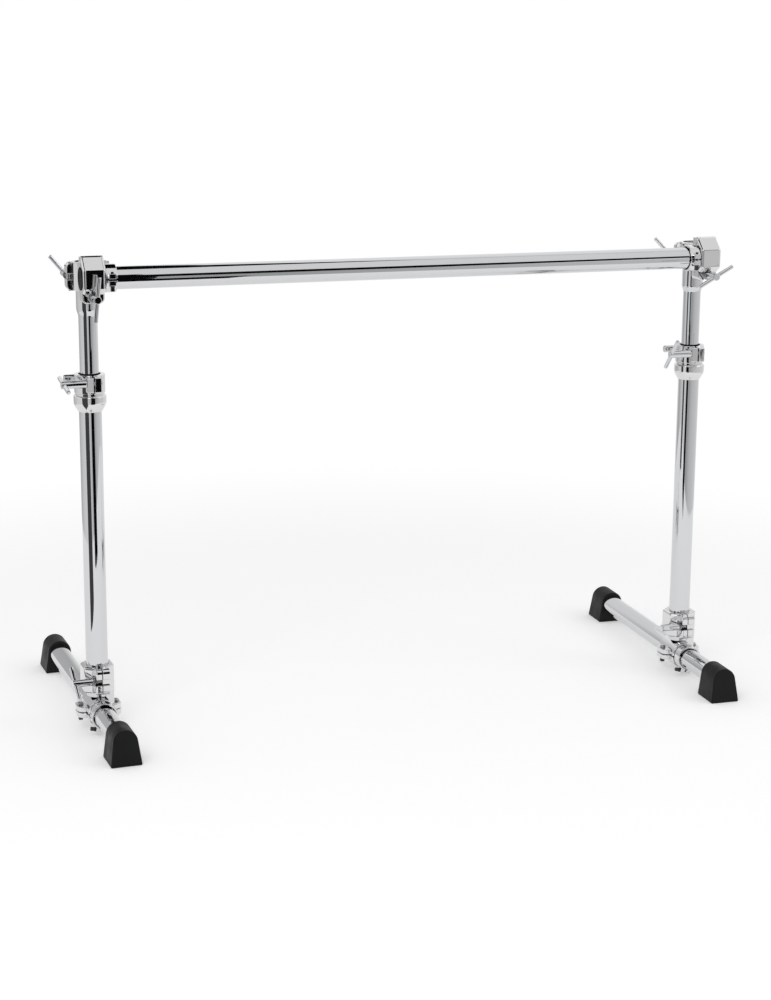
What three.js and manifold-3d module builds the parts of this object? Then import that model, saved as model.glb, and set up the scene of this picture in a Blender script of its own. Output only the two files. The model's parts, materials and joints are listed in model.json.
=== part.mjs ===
// Drum rack frame: a straight bar on two T-shaped legs. Millimetres, +Z up.
// +X runs along the bar from left to right and +Y runs away from the player.
// The origin is on the floor, midway between the outermost faces of the frame.
//
// Each leg hangs from the bar by a right-angle clamp. An upper tube slides in a lower tube
// and is held by the height clamp. A base clamp joins the lower tube to a floor tube that
// runs front to back and ends in two rubber feet.
//
// Clamp ends share one frame: the held tube lies along z, the jaw is on the +y side,
// its hinge is on the +x side and its wing nut pulls it shut on the -x side.

import * as THREE from 'three';
import { mergeVertices } from 'three/addons/utils/BufferGeometryUtils.js';
import Module from 'manifold-3d';

const wasm = await Module();
wasm.setup();

// Overall sizes
const legSpacing = 1116;
const barHeight = 791.5;
const barToUpright = 46;
const barOverhang = 17.5;
const floorTubeHeight = 35.4;
const toeInDegrees = 1.9;

// Tubes
const tubeDiameter = 38.1;
const tubeWall = 1.6;
const innerTubeDiameter = 31.75;
const innerTubeWall = 1.5;
const swageDiameter = 38.1;
const swageLength = 72;
const swageTaper = 14;
const upperTubeLength = 432;
const upperTubeAboveBar = 17;
const tubeEndPlate = 3;

// Clearances
const fit = 0.3;
const knuckleGap = 0.4;
const partingGap = 1.2;
const cutOverrun = 1;

// Clamp ends: shell, hinge and closure
const barEnd = { length: 38, reach: 41, backDepth: 24 };
const uprightEnd = { length: 47, reach: 36, backDepth: 24 };
const baseEnd = { length: 47, reach: 41, backDepth: 26 };
const hingeReach = 31;
const knuckleRadius = 6.5;
const earThickness = 7;
const hingePinRadius = 3;
const armDepth = 12;
const armStart = 20;
const boltReach = 30;
const closureStart = 22;
const closureCorner = 9;
const hingeCorner = 4;
const slotWidth = 9.7;
const slotStart = 23.2;
const jawLugDepth = 11;
const bodyLugDepth = 14;
const jawDepth = 27;
const jawFlatUp = 17;
const jawFlatDown = 16;
const jawTopDepth = 7;
const jawTopReach = 36;
const jawHeelReach = 25;
const jawHeelDepth = 15;
const jawEndChamfer = 3.2;
const bodyFlat = 16;
const webWidth = 38;

// Wing nuts and studs
const studRadius = 4;
const studLength = 33;
const eyeRadius = 6.3;
const eyeDepth = 8;
const eyePinRadius = 2.5;
const washerRadius = 8;
const washerThickness = 2;
const hubRadius = 6.5;
const hubEnd = 50;
const hubChamfer = 1.5;
const wingRadius = 3.65;
const wingLength = 75;
const wingDepth = 45;
const wingChamfer = 1.2;

// Height clamp
const heightClampDrop = 229;
const heightBottomWall = 1.1;
const cupRadius = 27.5;
const cupFlare = 17;
const cupLength = 28;
const flareShares = [[0, 0], [0.4, 0.28], [0.78, 0.64], [1, 1]];
const neckRadius = 24.5;
const neckLength = 3.5;
const bandRadius = 26;
const bandLength = 32;
const bandChamfer = 2;
const bandLugWidth = 24;
const bandLugReach = 39;
const bandLugHeight = 26;
const bandSlit = 2;
const bandLugRise = 1.5;
const bandBoltRise = 2.5;
const bandBoltReach = 31.5;
const heightHubEnd = 55;
const heightWingDepth = 50;
const boltEndProud = 2;
const rearBoltReach = 31.5;
const rearLugReach = 38;
const rearLugWidth = 18;
const rearHeadLength = 28;
const rearNutLength = 6;
const bushLength = 86;
const bushProud = 1.5;
const shoulderThickness = 2.2;

// Base clamp
const baseSocketFloor = 60;
const baseMiddle = 93;
const baseRootDepth = 20;
const saddleLength = 66;
const flangeWidth = 78;
const flangeLength = 40;
const flangeCorner = 13;
const flangeThickness = 9;
const capBoltReach = 31.5;
const capBoltRadius = 3;
const capHeadSize = 7;
const capHeadLength = 8;
const capNutRadius = 5.5;
const capNutLength = 4.5;
const capDepth = 26;

// Memory locks
const lockRadius = 23.5;
const lockLength = 19;
const lockChamfer = 1.5;
const lockGap = 3;
const lockLugReach = 30;
const lockLugWidth = 12;
const lockLugHeight = 20;
const lockScrewReach = 25.6;
const lockScrewRadius = 2.5;
const lockHeadSize = 6;
const lockHeadLength = 9;
const lockEndLength = 3;
const lockToClamp = 0.5;
const floorLockTiltDegrees = 12;

// Floor tube and feet
const frontReach = 212;
const backReach = 387;
const footLength = 62;
const footWidth = 54.4;
const footTopWall = 6.65;
const footSideWall = 2.1;
const footEndWall = 4;
const footEndLean = 8;
const footChamfer = 3;
const ribDepth = 1.6;
const ribCount = 6;
const grooveShare = 0.4;
const floorLockGap = 2;

// Bar end caps
const capRim = 2.5;
const capPlug = 16;
const capRimChamfer = 0.8;

// Turned position of each crossbar, in degrees from the clamp end's z axis
const wingTurns = {
  left: { bar: 84, upright: -40, height: 80, base: 60 },
  right: { bar: 29, upright: -45, height: -42, base: 105 },
};

// Roundness
const tubeSides = 32;
const pinSides = 12;

const tubeRadius = tubeDiameter / 2;
const innerTubeRadius = innerTubeDiameter / 2;
const tubeBore = tubeRadius - tubeWall;
const clampBore = tubeRadius + fit;
const halfParting = partingGap / 2;

const chrome = new THREE.MeshStandardMaterial({ color: 0xc9cbce, roughness: 0.12, metalness: 1 });
const castChrome = new THREE.MeshStandardMaterial({ color: 0xbfc1c4, roughness: 0.2, metalness: 1 });
const steel = new THREE.MeshStandardMaterial({ color: 0xa6a8ab, roughness: 0.3, metalness: 1 });
const blackNylon = new THREE.MeshStandardMaterial({ color: 0x17181a, roughness: 0.5, metalness: 0 });
const blackRubber = new THREE.MeshStandardMaterial({ color: 0x232527, roughness: 0.7, metalness: 0 });

// Solids

function solidOf(geometry) {
  const bare = geometry.index ? geometry.clone() : geometry;
  bare.deleteAttribute('normal');
  bare.deleteAttribute('uv');
  const merged = mergeVertices(bare, 1e-4);
  return new wasm.Manifold(
    new wasm.Mesh({
      numProp: 3,
      vertProperties: new Float32Array(merged.attributes.position.array),
      triVerts: new Uint32Array(merged.index.array),
    }),
  );
}

function geometryOf(solid) {
  const mesh = solid.getMesh();
  const geometry = new THREE.BufferGeometry();
  geometry.setAttribute('position', new THREE.BufferAttribute(mesh.vertProperties, 3));
  geometry.setIndex(new THREE.BufferAttribute(mesh.triVerts, 1));
  geometry.computeVertexNormals();
  return geometry;
}

function join(...solids) {
  return solids.reduce((all, next) => all.add(next));
}

function cut(solid, ...tools) {
  return tools.reduce((rest, tool) => rest.subtract(tool), solid);
}

// A box between two corners
function block([x0, x1], [y0, y1], [z0, z1]) {
  const box = new THREE.BoxGeometry(x1 - x0, y1 - y0, z1 - z0);
  box.translate((x0 + x1) / 2, (y0 + y1) / 2, (z0 + z1) / 2);
  return solidOf(box);
}

// A round bar along z from z0 to z1, centred on x, y, with chamfered ends if asked
function rod(radius, [z0, z1], [x, y] = [0, 0], sides = pinSides, chamfer = 0) {
  const profile = chamfer
    ? [[0, z0], [radius - chamfer, z0], [radius, z0 + chamfer], [radius, z1 - chamfer],
       [radius - chamfer, z1], [0, z1]]
    : [[0, z0], [radius, z0], [radius, z1], [0, z1]];
  return turned(profile, sides).translate([x, y, 0]);
}

// A round bar along y from y0 to y1, centred on x, z
function rodAlongY(radius, [y0, y1], [x, z] = [0, 0], sides = pinSides, chamfer = 0) {
  return rod(radius, [-y1, -y0], [0, 0], sides, chamfer).rotate([90, 0, 0]).translate([x, 0, z]);
}

// A round bar along x from x0 to x1, centred on y, z
function rodAlongX(radius, [x0, x1], [y, z] = [0, 0], sides = pinSides, chamfer = 0) {
  return rod(radius, [x0, x1], [0, 0], sides, chamfer).rotate([0, 90, 0]).translate([0, y, z]);
}

// A profile of [radius, z] points turned about z; it starts and ends on the axis,
// or closes on itself
function turned(profile, sides = tubeSides) {
  const points = profile.map(([r, z]) => new THREE.Vector2(r, z));
  const lathe = new THREE.LatheGeometry(points, sides);
  lathe.rotateX(Math.PI / 2);
  return solidOf(lathe);
}

// A hollow round bar along z, as a closed ring profile
function pipe(outer, inner, [z0, z1], sides = tubeSides) {
  return turned([[inner, z0], [outer, z0], [outer, z1], [inner, z1], [inner, z0]], sides);
}

// An outline of [x, y] points extruded along z from z0 to z1
function prism(outline, [z0, z1]) {
  const shape = new THREE.Shape(outline.map(([x, y]) => new THREE.Vector2(x, y)));
  const body = new THREE.ExtrudeGeometry(shape, { depth: z1 - z0, bevelEnabled: false });
  body.translate(0, 0, z0);
  return solidOf(body);
}

// A closed skin over a stack of rings of [x, y, z] points, equal in number. They run
// anticlockwise, the first is the lowest, and both end rings are flat.
function stack(rings) {
  const count = rings[0].length;
  const flat = rings[0].map(([x, y]) => new THREE.Vector2(x, y));
  const cap = THREE.ShapeUtils.triangulateShape(flat, []);
  const last = (rings.length - 1) * count;
  const sides = rings.slice(1).flatMap((_, row) =>
    flat.flatMap((_point, i) => {
      const [a, b] = [row * count + i, row * count + ((i + 1) % count)];
      return [a, b, b + count, a, b + count, a + count];
    }),
  );
  const body = new THREE.BufferGeometry();
  body.setAttribute('position', new THREE.Float32BufferAttribute(rings.flat(2), 3));
  body.setIndex([
    ...cap.flatMap(([a, b, c]) => [a, c, b]),
    ...sides,
    ...cap.flatMap((face) => face.map((i) => last + i)),
  ]);
  return solidOf(body);
}

// An outline of [x, z] points extruded along y from y0 to y1
function prismAlongY(outline, [y0, y1]) {
  return prism(outline, [-y1, -y0]).rotate([90, 0, 0]);
}

// The quarter-round points of an outline's corner, from one angle to another
function corner([x, y], radius, fromDegrees, toDegrees, steps = 4) {
  return Array.from({ length: steps + 1 }, (_, i) => {
    const turn = THREE.MathUtils.degToRad(fromDegrees + ((toDegrees - fromDegrees) * i) / steps);
    return [x + radius * Math.cos(turn), y + radius * Math.sin(turn)];
  });
}

// A rectangle with round corners, as outline points
function roundedRectangle([x0, x1], [y0, y1], radius) {
  return [
    ...corner([x1 - radius, y1 - radius], radius, 0, 90),
    ...corner([x0 + radius, y1 - radius], radius, 90, 180),
    ...corner([x0 + radius, y0 + radius], radius, 180, 270),
    ...corner([x1 - radius, y0 + radius], radius, 270, 360),
  ];
}

function placed(solid, matrix) {
  return solid.transform(matrix.elements);
}

// The frame whose x and y axes are given; z follows by the right-hand rule
function frameOf(xAxis, yAxis, origin) {
  const zAxis = new THREE.Vector3().crossVectors(xAxis, yAxis);
  return new THREE.Matrix4().makeBasis(xAxis, yAxis, zAxis).setPosition(origin);
}

const along = {
  x: new THREE.Vector3(1, 0, 0),
  y: new THREE.Vector3(0, 1, 0),
  z: new THREE.Vector3(0, 0, 1),
  back: new THREE.Vector3(0, -1, 0),
  left: new THREE.Vector3(-1, 0, 0),
};

// Clamp ends

// The outline of a clamp end seen along y: round at the closure, chamfered at the hinge
function endOutline({ length, reach }) {
  const half = length / 2;
  const hingeSide = hingeReach + knuckleRadius + cutOverrun;
  const side = [
    [hingeSide, half - hingeCorner],
    [hingeReach, half],
  ];
  const round = corner([closureCorner - reach, half - closureCorner], closureCorner, 90, 180);
  const upper = [...side, ...round];
  return [...upper, ...upper.map(([x, z]) => [x, -z]).reverse()];
}

function closureSlot({ reach }) {
  return block(
    [-reach - cutOverrun, -slotStart],
    [-bodyLugDepth - cutOverrun, jawLugDepth + cutOverrun],
    [-slotWidth / 2, slotWidth / 2],
  );
}

// The fixed half of a clamp end, with its two hinge ears, its hinge pin and its lugs.
// backDepth is how far it reaches behind the parting plane.
function bodyHalf(end) {
  const { length, reach, backDepth } = end;
  const half = length / 2;
  const shell = prism(
    [
      [armStart + armDepth / 2, -halfParting],
      [bodyFlat, -backDepth],
      [-bodyFlat, -backDepth],
      [-jawHeelReach, -jawHeelDepth],
      [-jawHeelReach, -halfParting],
    ],
    [-half, half],
  );
  const arm = block([armStart, hingeReach], [-armDepth, -halfParting], [-half, half]);
  const ears = rod(knuckleRadius, [-half, half], [hingeReach, 0]);
  const lugs = block([-reach, -closureStart], [-bodyLugDepth, -halfParting], [-half, half]);
  const outline = prismAlongY(endOutline(end), [-backDepth - cutOverrun, knuckleRadius + cutOverrun]);
  const knuckleRoom = rod(
    knuckleRadius + knuckleGap,
    [earThickness - half, half - earThickness],
    [hingeReach, 0],
  );
  const pin = rod(hingePinRadius, [earThickness - half - cutOverrun, half - earThickness + cutOverrun], [
    hingeReach,
    0,
  ]);
  const raw = join(shell, arm, ears, lugs).intersect(outline);
  return join(cut(raw, knuckleRoom, closureSlot(end)), pin);
}

function tubeBoreCut(length) {
  const half = length / 2 + cutOverrun;
  return rod(clampBore, [-half, half], [0, 0], tubeSides);
}

// The hinged half of a clamp end. Its outer side is chamfered at both ends.
function jaw(end) {
  const { length, reach } = end;
  const half = length / 2;
  const middle = half - jawEndChamfer;
  const endShare = (jawDepth - jawEndChamfer) / jawDepth;
  const ring = (share, z) => [
    [hingeReach, halfParting],
    [jawTopReach, jawTopDepth],
    [jawFlatUp, jawDepth],
    [-jawFlatDown, jawDepth],
    [-jawHeelReach, jawHeelDepth],
    [-jawHeelReach, halfParting],
  ].map(([x, y]) => [x * share, Math.max(y * share, halfParting), z]);
  const shell = stack([ring(endShare, -half), ring(1, -middle), ring(1, middle), ring(endShare, half)]);
  const lugs = block([-reach, -closureStart], [halfParting, jawLugDepth], [-half, half]);
  const outline = prismAlongY(endOutline(end), [-cutOverrun, jawDepth + cutOverrun]);
  const knuckleHalf = half - earThickness - knuckleGap;
  const knuckle = rod(knuckleRadius, [-knuckleHalf, knuckleHalf], [hingeReach, 0]);
  const earRoom = [-1, 1].map((side) => {
    const ends = [side * knuckleHalf, side * (half + cutOverrun)].sort((a, b) => a - b);
    return rod(knuckleRadius + knuckleGap, ends, [hingeReach, 0]);
  });
  const pinHole = rod(hingePinRadius + fit, [-half, half], [hingeReach, 0]);
  const spotFace = rodAlongY(washerRadius + fit, [jawLugDepth, jawDepth + cutOverrun], [-boltReach, 0]);
  const raw = cut(
    join(shell, lugs).intersect(outline),
    tubeBoreCut(length),
    closureSlot(end),
    spotFace,
    ...earRoom,
  );
  return cut(join(raw, knuckle), pinHole);
}

// A stud fixed in the body's closed lug, where there is no eye bolt
function fixedStud({ reach }) {
  const boss = block(
    [closureCorner / 2 - reach, -closureStart],
    [-bodyLugDepth, -halfParting],
    [-slotWidth, slotWidth],
  );
  return join(boss, rodAlongY(studRadius, [-halfParting - cutOverrun, studLength], [-boltReach, 0]));
}

// A stud with an eye, and the pin that carries it between the lugs
function eyeBolt({ length }) {
  const half = length / 2;
  const eye = rod(eyeRadius, [fit - slotWidth / 2, slotWidth / 2 - fit], [-boltReach, -eyeDepth]);
  const stud = rodAlongY(studRadius, [-eyeDepth, studLength], [-boltReach, 0]);
  const pin = rod(eyePinRadius, [-half, half], [-boltReach, -eyeDepth]);
  return join(eye, stud, pin);
}

function eyePinHole({ length }) {
  const half = length / 2 + cutOverrun;
  return rod(eyePinRadius + fit, [-half, half], [-boltReach, -eyeDepth]);
}

function washer() {
  const start = jawLugDepth + fit;
  const disc = rodAlongY(washerRadius, [start, start + washerThickness], [-boltReach, 0]);
  return cut(disc, rodAlongY(studRadius + fit, [start - cutOverrun, studLength], [-boltReach, 0]));
}

// A T-handle about the y axis: a hub from y0 to y1 with a crossbar through it at a depth
function tHandle([y0, y1], depth, turnDegrees) {
  const hub = rodAlongY(hubRadius, [y0, y1], [0, 0], pinSides, hubChamfer);
  const half = wingLength / 2;
  const wings = rod(wingRadius, [-half, half], [0, 0], pinSides, wingChamfer)
    .rotate([0, turnDegrees, 0])
    .translate([0, depth, 0]);
  return join(hub, wings);
}

function wingNut(turnDegrees) {
  const start = jawLugDepth + washerThickness + 2 * fit;
  const bore = rodAlongY(studRadius + fit, [start - cutOverrun, studLength + fit]);
  return cut(tHandle([start, hubEnd], wingDepth, turnDegrees), bore).translate([-boltReach, 0, 0]);
}

// Memory locks: a split ring about z, its lugs on the -x side and its screw along y

function lockRing() {
  const half = lockLength / 2;
  const ring = rod(lockRadius, [-half, half], [0, 0], tubeSides, lockChamfer);
  const lugs = block(
    [-lockLugReach, -tubeRadius],
    [-lockLugHeight / 2, lockLugHeight / 2],
    [-lockLugWidth / 2, lockLugWidth / 2],
  );
  const gap = block([-lockLugReach - cutOverrun, 0], [-lockGap / 2, lockGap / 2], [-lockLength, lockLength]);
  const hole = rodAlongY(lockScrewRadius + fit, [-lockLugHeight, lockLugHeight], [-lockScrewReach, 0]);
  return cut(join(ring, lugs), tubeBoreCut(lockLength), gap, hole);
}

function lockScrew() {
  const seat = -lockLugHeight / 2 - fit;
  const half = lockHeadSize / 2;
  const head = block(
    [-lockScrewReach - half, -lockScrewReach + half],
    [seat - lockHeadLength, seat],
    [-half, half],
  );
  const shank = [seat - cutOverrun, lockLugHeight / 2 + lockEndLength];
  return join(head, rodAlongY(lockScrewRadius, shank, [-lockScrewReach, 0]));
}

// Top clamp

const toBar = frameOf(along.z, along.back, new THREE.Vector3(0, -barToUpright, barHeight));
const toUpright = frameOf(along.x, along.y, new THREE.Vector3(0, 0, barHeight));

function topClamp() {
  const barHalf = join(bodyHalf(barEnd), fixedStud(barEnd));
  const uprightHalf = cut(bodyHalf(uprightEnd), eyePinHole(uprightEnd));
  const web = block(
    [-webWidth / 2, webWidth / 2],
    [-barToUpright + jawHeelDepth, -jawHeelDepth],
    [barHeight - uprightEnd.length / 2, barHeight + uprightEnd.length / 2],
  );
  return cut(
    join(placed(barHalf, toBar), placed(uprightHalf, toUpright), web),
    placed(tubeBoreCut(barEnd.length), toBar),
    placed(tubeBoreCut(uprightEnd.length), toUpright),
  );
}

// Upper tube: plain below, swaged out to the clamp's bore at its top and closed there

function upperTube() {
  const top = barHeight + upperTubeAboveBar;
  const bottom = top - upperTubeLength;
  const swageRadius = swageDiameter / 2;
  const swageBottom = top - swageLength;
  const bore = innerTubeRadius - innerTubeWall;
  return turned([
    [bore, bottom],
    [innerTubeRadius, bottom],
    [innerTubeRadius, swageBottom - swageTaper],
    [swageRadius, swageBottom],
    [swageRadius, top],
    [0, top],
    [0, top - tubeEndPlate],
    [bore, top - tubeEndPlate],
    [bore, bottom],
  ]);
}

// Height clamp: a flared cup on the lower tube's end, and a split band around the bush

const heightClampBottom = barHeight - heightClampDrop;
const lowerTubeTop = heightClampBottom + cupLength - shoulderThickness;
const bandBottom = heightClampBottom + cupLength + neckLength;
const bandTop = bandBottom + bandLength;
const bandMiddle = (bandBottom + bandTop) / 2 + bandLugRise;
const bandBoltHeight = bandMiddle + bandBoltRise;
const bushInner = innerTubeRadius + fit;
const bushOuter = tubeBore - fit;

function heightClamp() {
  const bandBore = bushOuter + fit;
  const rimRadius = clampBore + heightBottomWall;
  const flare = flareShares.map(([across, up]) => [
    rimRadius + (cupRadius - rimRadius) * across,
    heightClampBottom + cupFlare * up,
  ]);
  const outside = turned([
    [0, heightClampBottom],
    ...flare,
    [cupRadius, bandBottom - neckLength],
    [neckRadius, bandBottom - neckLength],
    [neckRadius, bandBottom],
    [bandRadius, bandBottom],
    [bandRadius, bandTop - bandChamfer],
    [bandRadius - bandChamfer, bandTop],
    [0, bandTop],
  ]);
  const tubeSeat = rod(
    clampBore,
    [heightClampBottom - cutOverrun, lowerTubeTop + fit],
    [0, 0],
    tubeSides,
  );
  const bushSeat = rod(bandBore, [lowerTubeTop, bandTop + cutOverrun], [0, 0], tubeSides);
  const lugHalf = bandLugWidth / 2;
  const lugZ = [bandMiddle - bandLugHeight / 2, bandMiddle + bandLugHeight / 2];
  const frontLug = block([-lugHalf, lugHalf], [-bandLugReach, -bandBore], lugZ);
  const rearLug = block([-rearLugWidth / 2, rearLugWidth / 2], [bandBore, rearLugReach], lugZ);
  const slit = block(
    [-bandSlit / 2, bandSlit / 2],
    [-bandLugReach - cutOverrun, 0],
    [bandBottom - neckLength / 2, bandTop + cutOverrun],
  );
  const boltHole = rodAlongX(studRadius + fit, [-cupRadius, cupRadius], [-bandBoltReach, bandBoltHeight]);
  const rearHole = rodAlongX(studRadius + fit, [-cupRadius, cupRadius], [rearBoltReach, bandBoltHeight]);
  const solid = join(outside, frontLug, rearLug);
  return cut(solid, tubeSeat, bushSeat, slit, boltHole, rearHole);
}

function heightBush() {
  const top = bandTop + bushProud;
  return pipe(bushOuter, bushInner, [top - bushLength, top]);
}

// The T-handled bolt that pinches the band, along -x in front of the tube
function heightWingBolt(turnDegrees) {
  const hubStart = bandLugWidth / 2 + fit;
  const end = bandLugWidth / 2 + boltEndProud;
  const shank = rodAlongY(studRadius, [-end, hubStart + cutOverrun]);
  const bolt = join(tHandle([hubStart, heightHubEnd], heightWingDepth, turnDegrees), shank);
  const toBand = frameOf(along.y, along.left, new THREE.Vector3(0, -bandBoltReach, bandBoltHeight));
  return placed(bolt, toBand);
}

function heightRearBolt() {
  const seat = -rearLugWidth / 2 - fit;
  const centre = [rearBoltReach, bandBoltHeight];
  const far = rearLugWidth / 2 + fit;
  return join(
    rodAlongX(hubRadius, [seat - rearHeadLength, seat], centre, pinSides, hubChamfer),
    rodAlongX(studRadius, [seat - cutOverrun, far + cutOverrun], centre),
    rodAlongX(hubRadius, [far, far + rearNutLength], centre, pinSides / 2),
  );
}

// Lower tube

function lowerTube() {
  return pipe(tubeRadius, tubeBore, [baseSocketFloor + fit, lowerTubeTop]);
}

// Base clamp: an upright socket above, a saddle on the floor tube below and a bolted cap

const toSocket = frameOf(along.y, along.left, new THREE.Vector3(0, 0, baseMiddle));

// The bolted flanges on both sides of the floor tube, as one plate from z0 to z1
function flangePlate([z0, z1]) {
  const [x, y] = [flangeWidth / 2, flangeLength / 2];
  return prism(roundedRectangle([-x, x], [-y, y], flangeCorner), [z0, z1]);
}

// Half of a sleeve about the floor tube, between two heights
function sleeve(radius, [z0, z1]) {
  const ends = [-saddleLength / 2, saddleLength / 2];
  const whole = rodAlongY(radius, ends, [0, floorTubeHeight], tubeSides);
  return whole.intersect(block([-radius, radius], ends, [z0, z1]));
}

function capBoltHoles() {
  return [-1, 1].map((side) =>
    rod(capBoltRadius + fit, [0, baseSocketFloor], [side * capBoltReach, 0]),
  );
}

function floorBoreCut() {
  return rodAlongY(clampBore, [-saddleLength, saddleLength], [0, floorTubeHeight], tubeSides);
}

function baseClamp() {
  const socket = join(bodyHalf(baseEnd), fixedStud(baseEnd));
  const saddleBottom = floorTubeHeight + halfParting;
  const saddle = sleeve(baseSocketFloor - floorTubeHeight, [saddleBottom, baseSocketFloor]);
  const flange = flangePlate([saddleBottom, saddleBottom + flangeThickness]);
  const socketBottom = baseMiddle - baseEnd.length / 2;
  const socketTop = baseMiddle + baseEnd.length / 2;
  const root = block(
    [baseEnd.backDepth - baseRootDepth, baseEnd.backDepth],
    [-bodyFlat, bodyFlat],
    [saddleBottom, socketBottom + earThickness],
  );
  const tubeSeat = rod(clampBore, [baseSocketFloor, socketTop + cutOverrun], [0, 0], tubeSides);
  const upper = cut(join(placed(socket, toSocket), root), tubeSeat);
  return cut(join(upper, saddle, flange), floorBoreCut(), ...capBoltHoles());
}

function baseCap() {
  const top = floorTubeHeight - halfParting;
  const trough = sleeve(capDepth, [floorTubeHeight - capDepth, top]);
  const flange = flangePlate([top - flangeThickness, top]);
  return cut(join(trough, flange), floorBoreCut(), ...capBoltHoles());
}

// A square-headed bolt from below, with its round nut on the flange
function baseCapBolt(side) {
  const seat = floorTubeHeight - halfParting - flangeThickness - fit;
  const nutSeat = floorTubeHeight + halfParting + flangeThickness + fit;
  const half = capHeadSize / 2;
  const x = side * capBoltReach;
  return join(
    block([x - half, x + half], [-half, half], [seat - capHeadLength, seat]),
    rod(capBoltRadius, [seat - cutOverrun, nutSeat + cutOverrun], [x, 0]),
    rod(capNutRadius, [nutSeat, nutSeat + capNutLength], [x, 0]),
  );
}

// Floor tube, its memory lock and its feet

const footBoreStart = footEndLean + footEndWall;

function floorTube() {
  const ends = [footBoreStart + fit - frontReach, backReach - footBoreStart - fit];
  return pipe(tubeRadius, tubeBore, [-ends[1], -ends[0]]).rotate([90, 0, 0]).translate([0, 0, floorTubeHeight]);
}

const floorLockY = -saddleLength / 2 - floorLockGap - lockLength / 2;
const floorLockTilt = THREE.MathUtils.degToRad(floorLockTiltDegrees);
const toFloorLock = frameOf(
  new THREE.Vector3(Math.sin(floorLockTilt), 0, Math.cos(floorLockTilt)),
  new THREE.Vector3(Math.cos(floorLockTilt), 0, -Math.sin(floorLockTilt)),
  new THREE.Vector3(0, floorLockY, floorTubeHeight),
);

// A foot whose closed end is at y = 0 and leans back, and whose mouth faces +y: sides that
// lean in to touch a round top, and a sole with ribs across it
function foot() {
  const radius = clampBore + footSideWall;
  const height = floorTubeHeight + clampBore + footTopWall;
  const half = footWidth / 2;
  const middle = height - radius;
  const touch = Math.acos(radius / Math.hypot(half, middle)) - Math.atan2(middle, half);
  const lean = THREE.MathUtils.radToDeg(touch);
  const outline = [[-half, 0], [half, 0], ...corner([0, middle], radius, lean, 180 - lean, tubeSides / 2)];
  const inner = outline.map(([x, z]) => [x * (1 - footChamfer / half), z * (1 - footChamfer / height)]);
  const leaning = (points, inset) => points.map(([x, z]) => [x, z, -inset - (footEndLean * z) / height]);
  const mouth = outline.map(([x, z]) => [x, z, -footLength]);
  const body = stack([mouth, leaning(outline, footChamfer), leaning(inner, 0)]).rotate([90, 0, 0]);
  const bore = rodAlongY(clampBore, [footBoreStart, footLength + cutOverrun], [0, floorTubeHeight], tubeSides);
  const pitch = footLength / ribCount;
  const grooves = Array.from({ length: ribCount - 1 }, (_, i) => {
    const middle = pitch * (i + 1);
    return block(
      [-footWidth, footWidth],
      [middle - (pitch * grooveShare) / 2, middle + (pitch * grooveShare) / 2],
      [-cutOverrun, ribDepth],
    );
  });
  return cut(body, bore, ...grooves);
}

// Bar

const barLength = legSpacing + 2 * barOverhang;

function barTube() {
  const half = barLength / 2;
  return pipe(tubeRadius, tubeBore, [-half, half]).rotate([0, 90, 0]);
}

function barCap() {
  const plugRadius = tubeBore - fit;
  return turned([
    [0, -capPlug],
    [plugRadius, -capPlug],
    [plugRadius, fit],
    [tubeRadius, fit],
    [tubeRadius, fit + capRim - capRimChamfer],
    [tubeRadius - capRimChamfer, fit + capRim],
    [0, fit + capRim],
  ]);
}

// Assembly

function meshOf(name, solid, material) {
  const mesh = new THREE.Mesh(geometryOf(solid), material.clone());
  mesh.name = name;
  return mesh;
}

// A mesh made in a clamp end's own frame and then placed by that frame
function meshIn(matrix, name, solid, material) {
  const mesh = meshOf(name, solid, material);
  mesh.applyMatrix4(matrix);
  return mesh;
}

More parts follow.
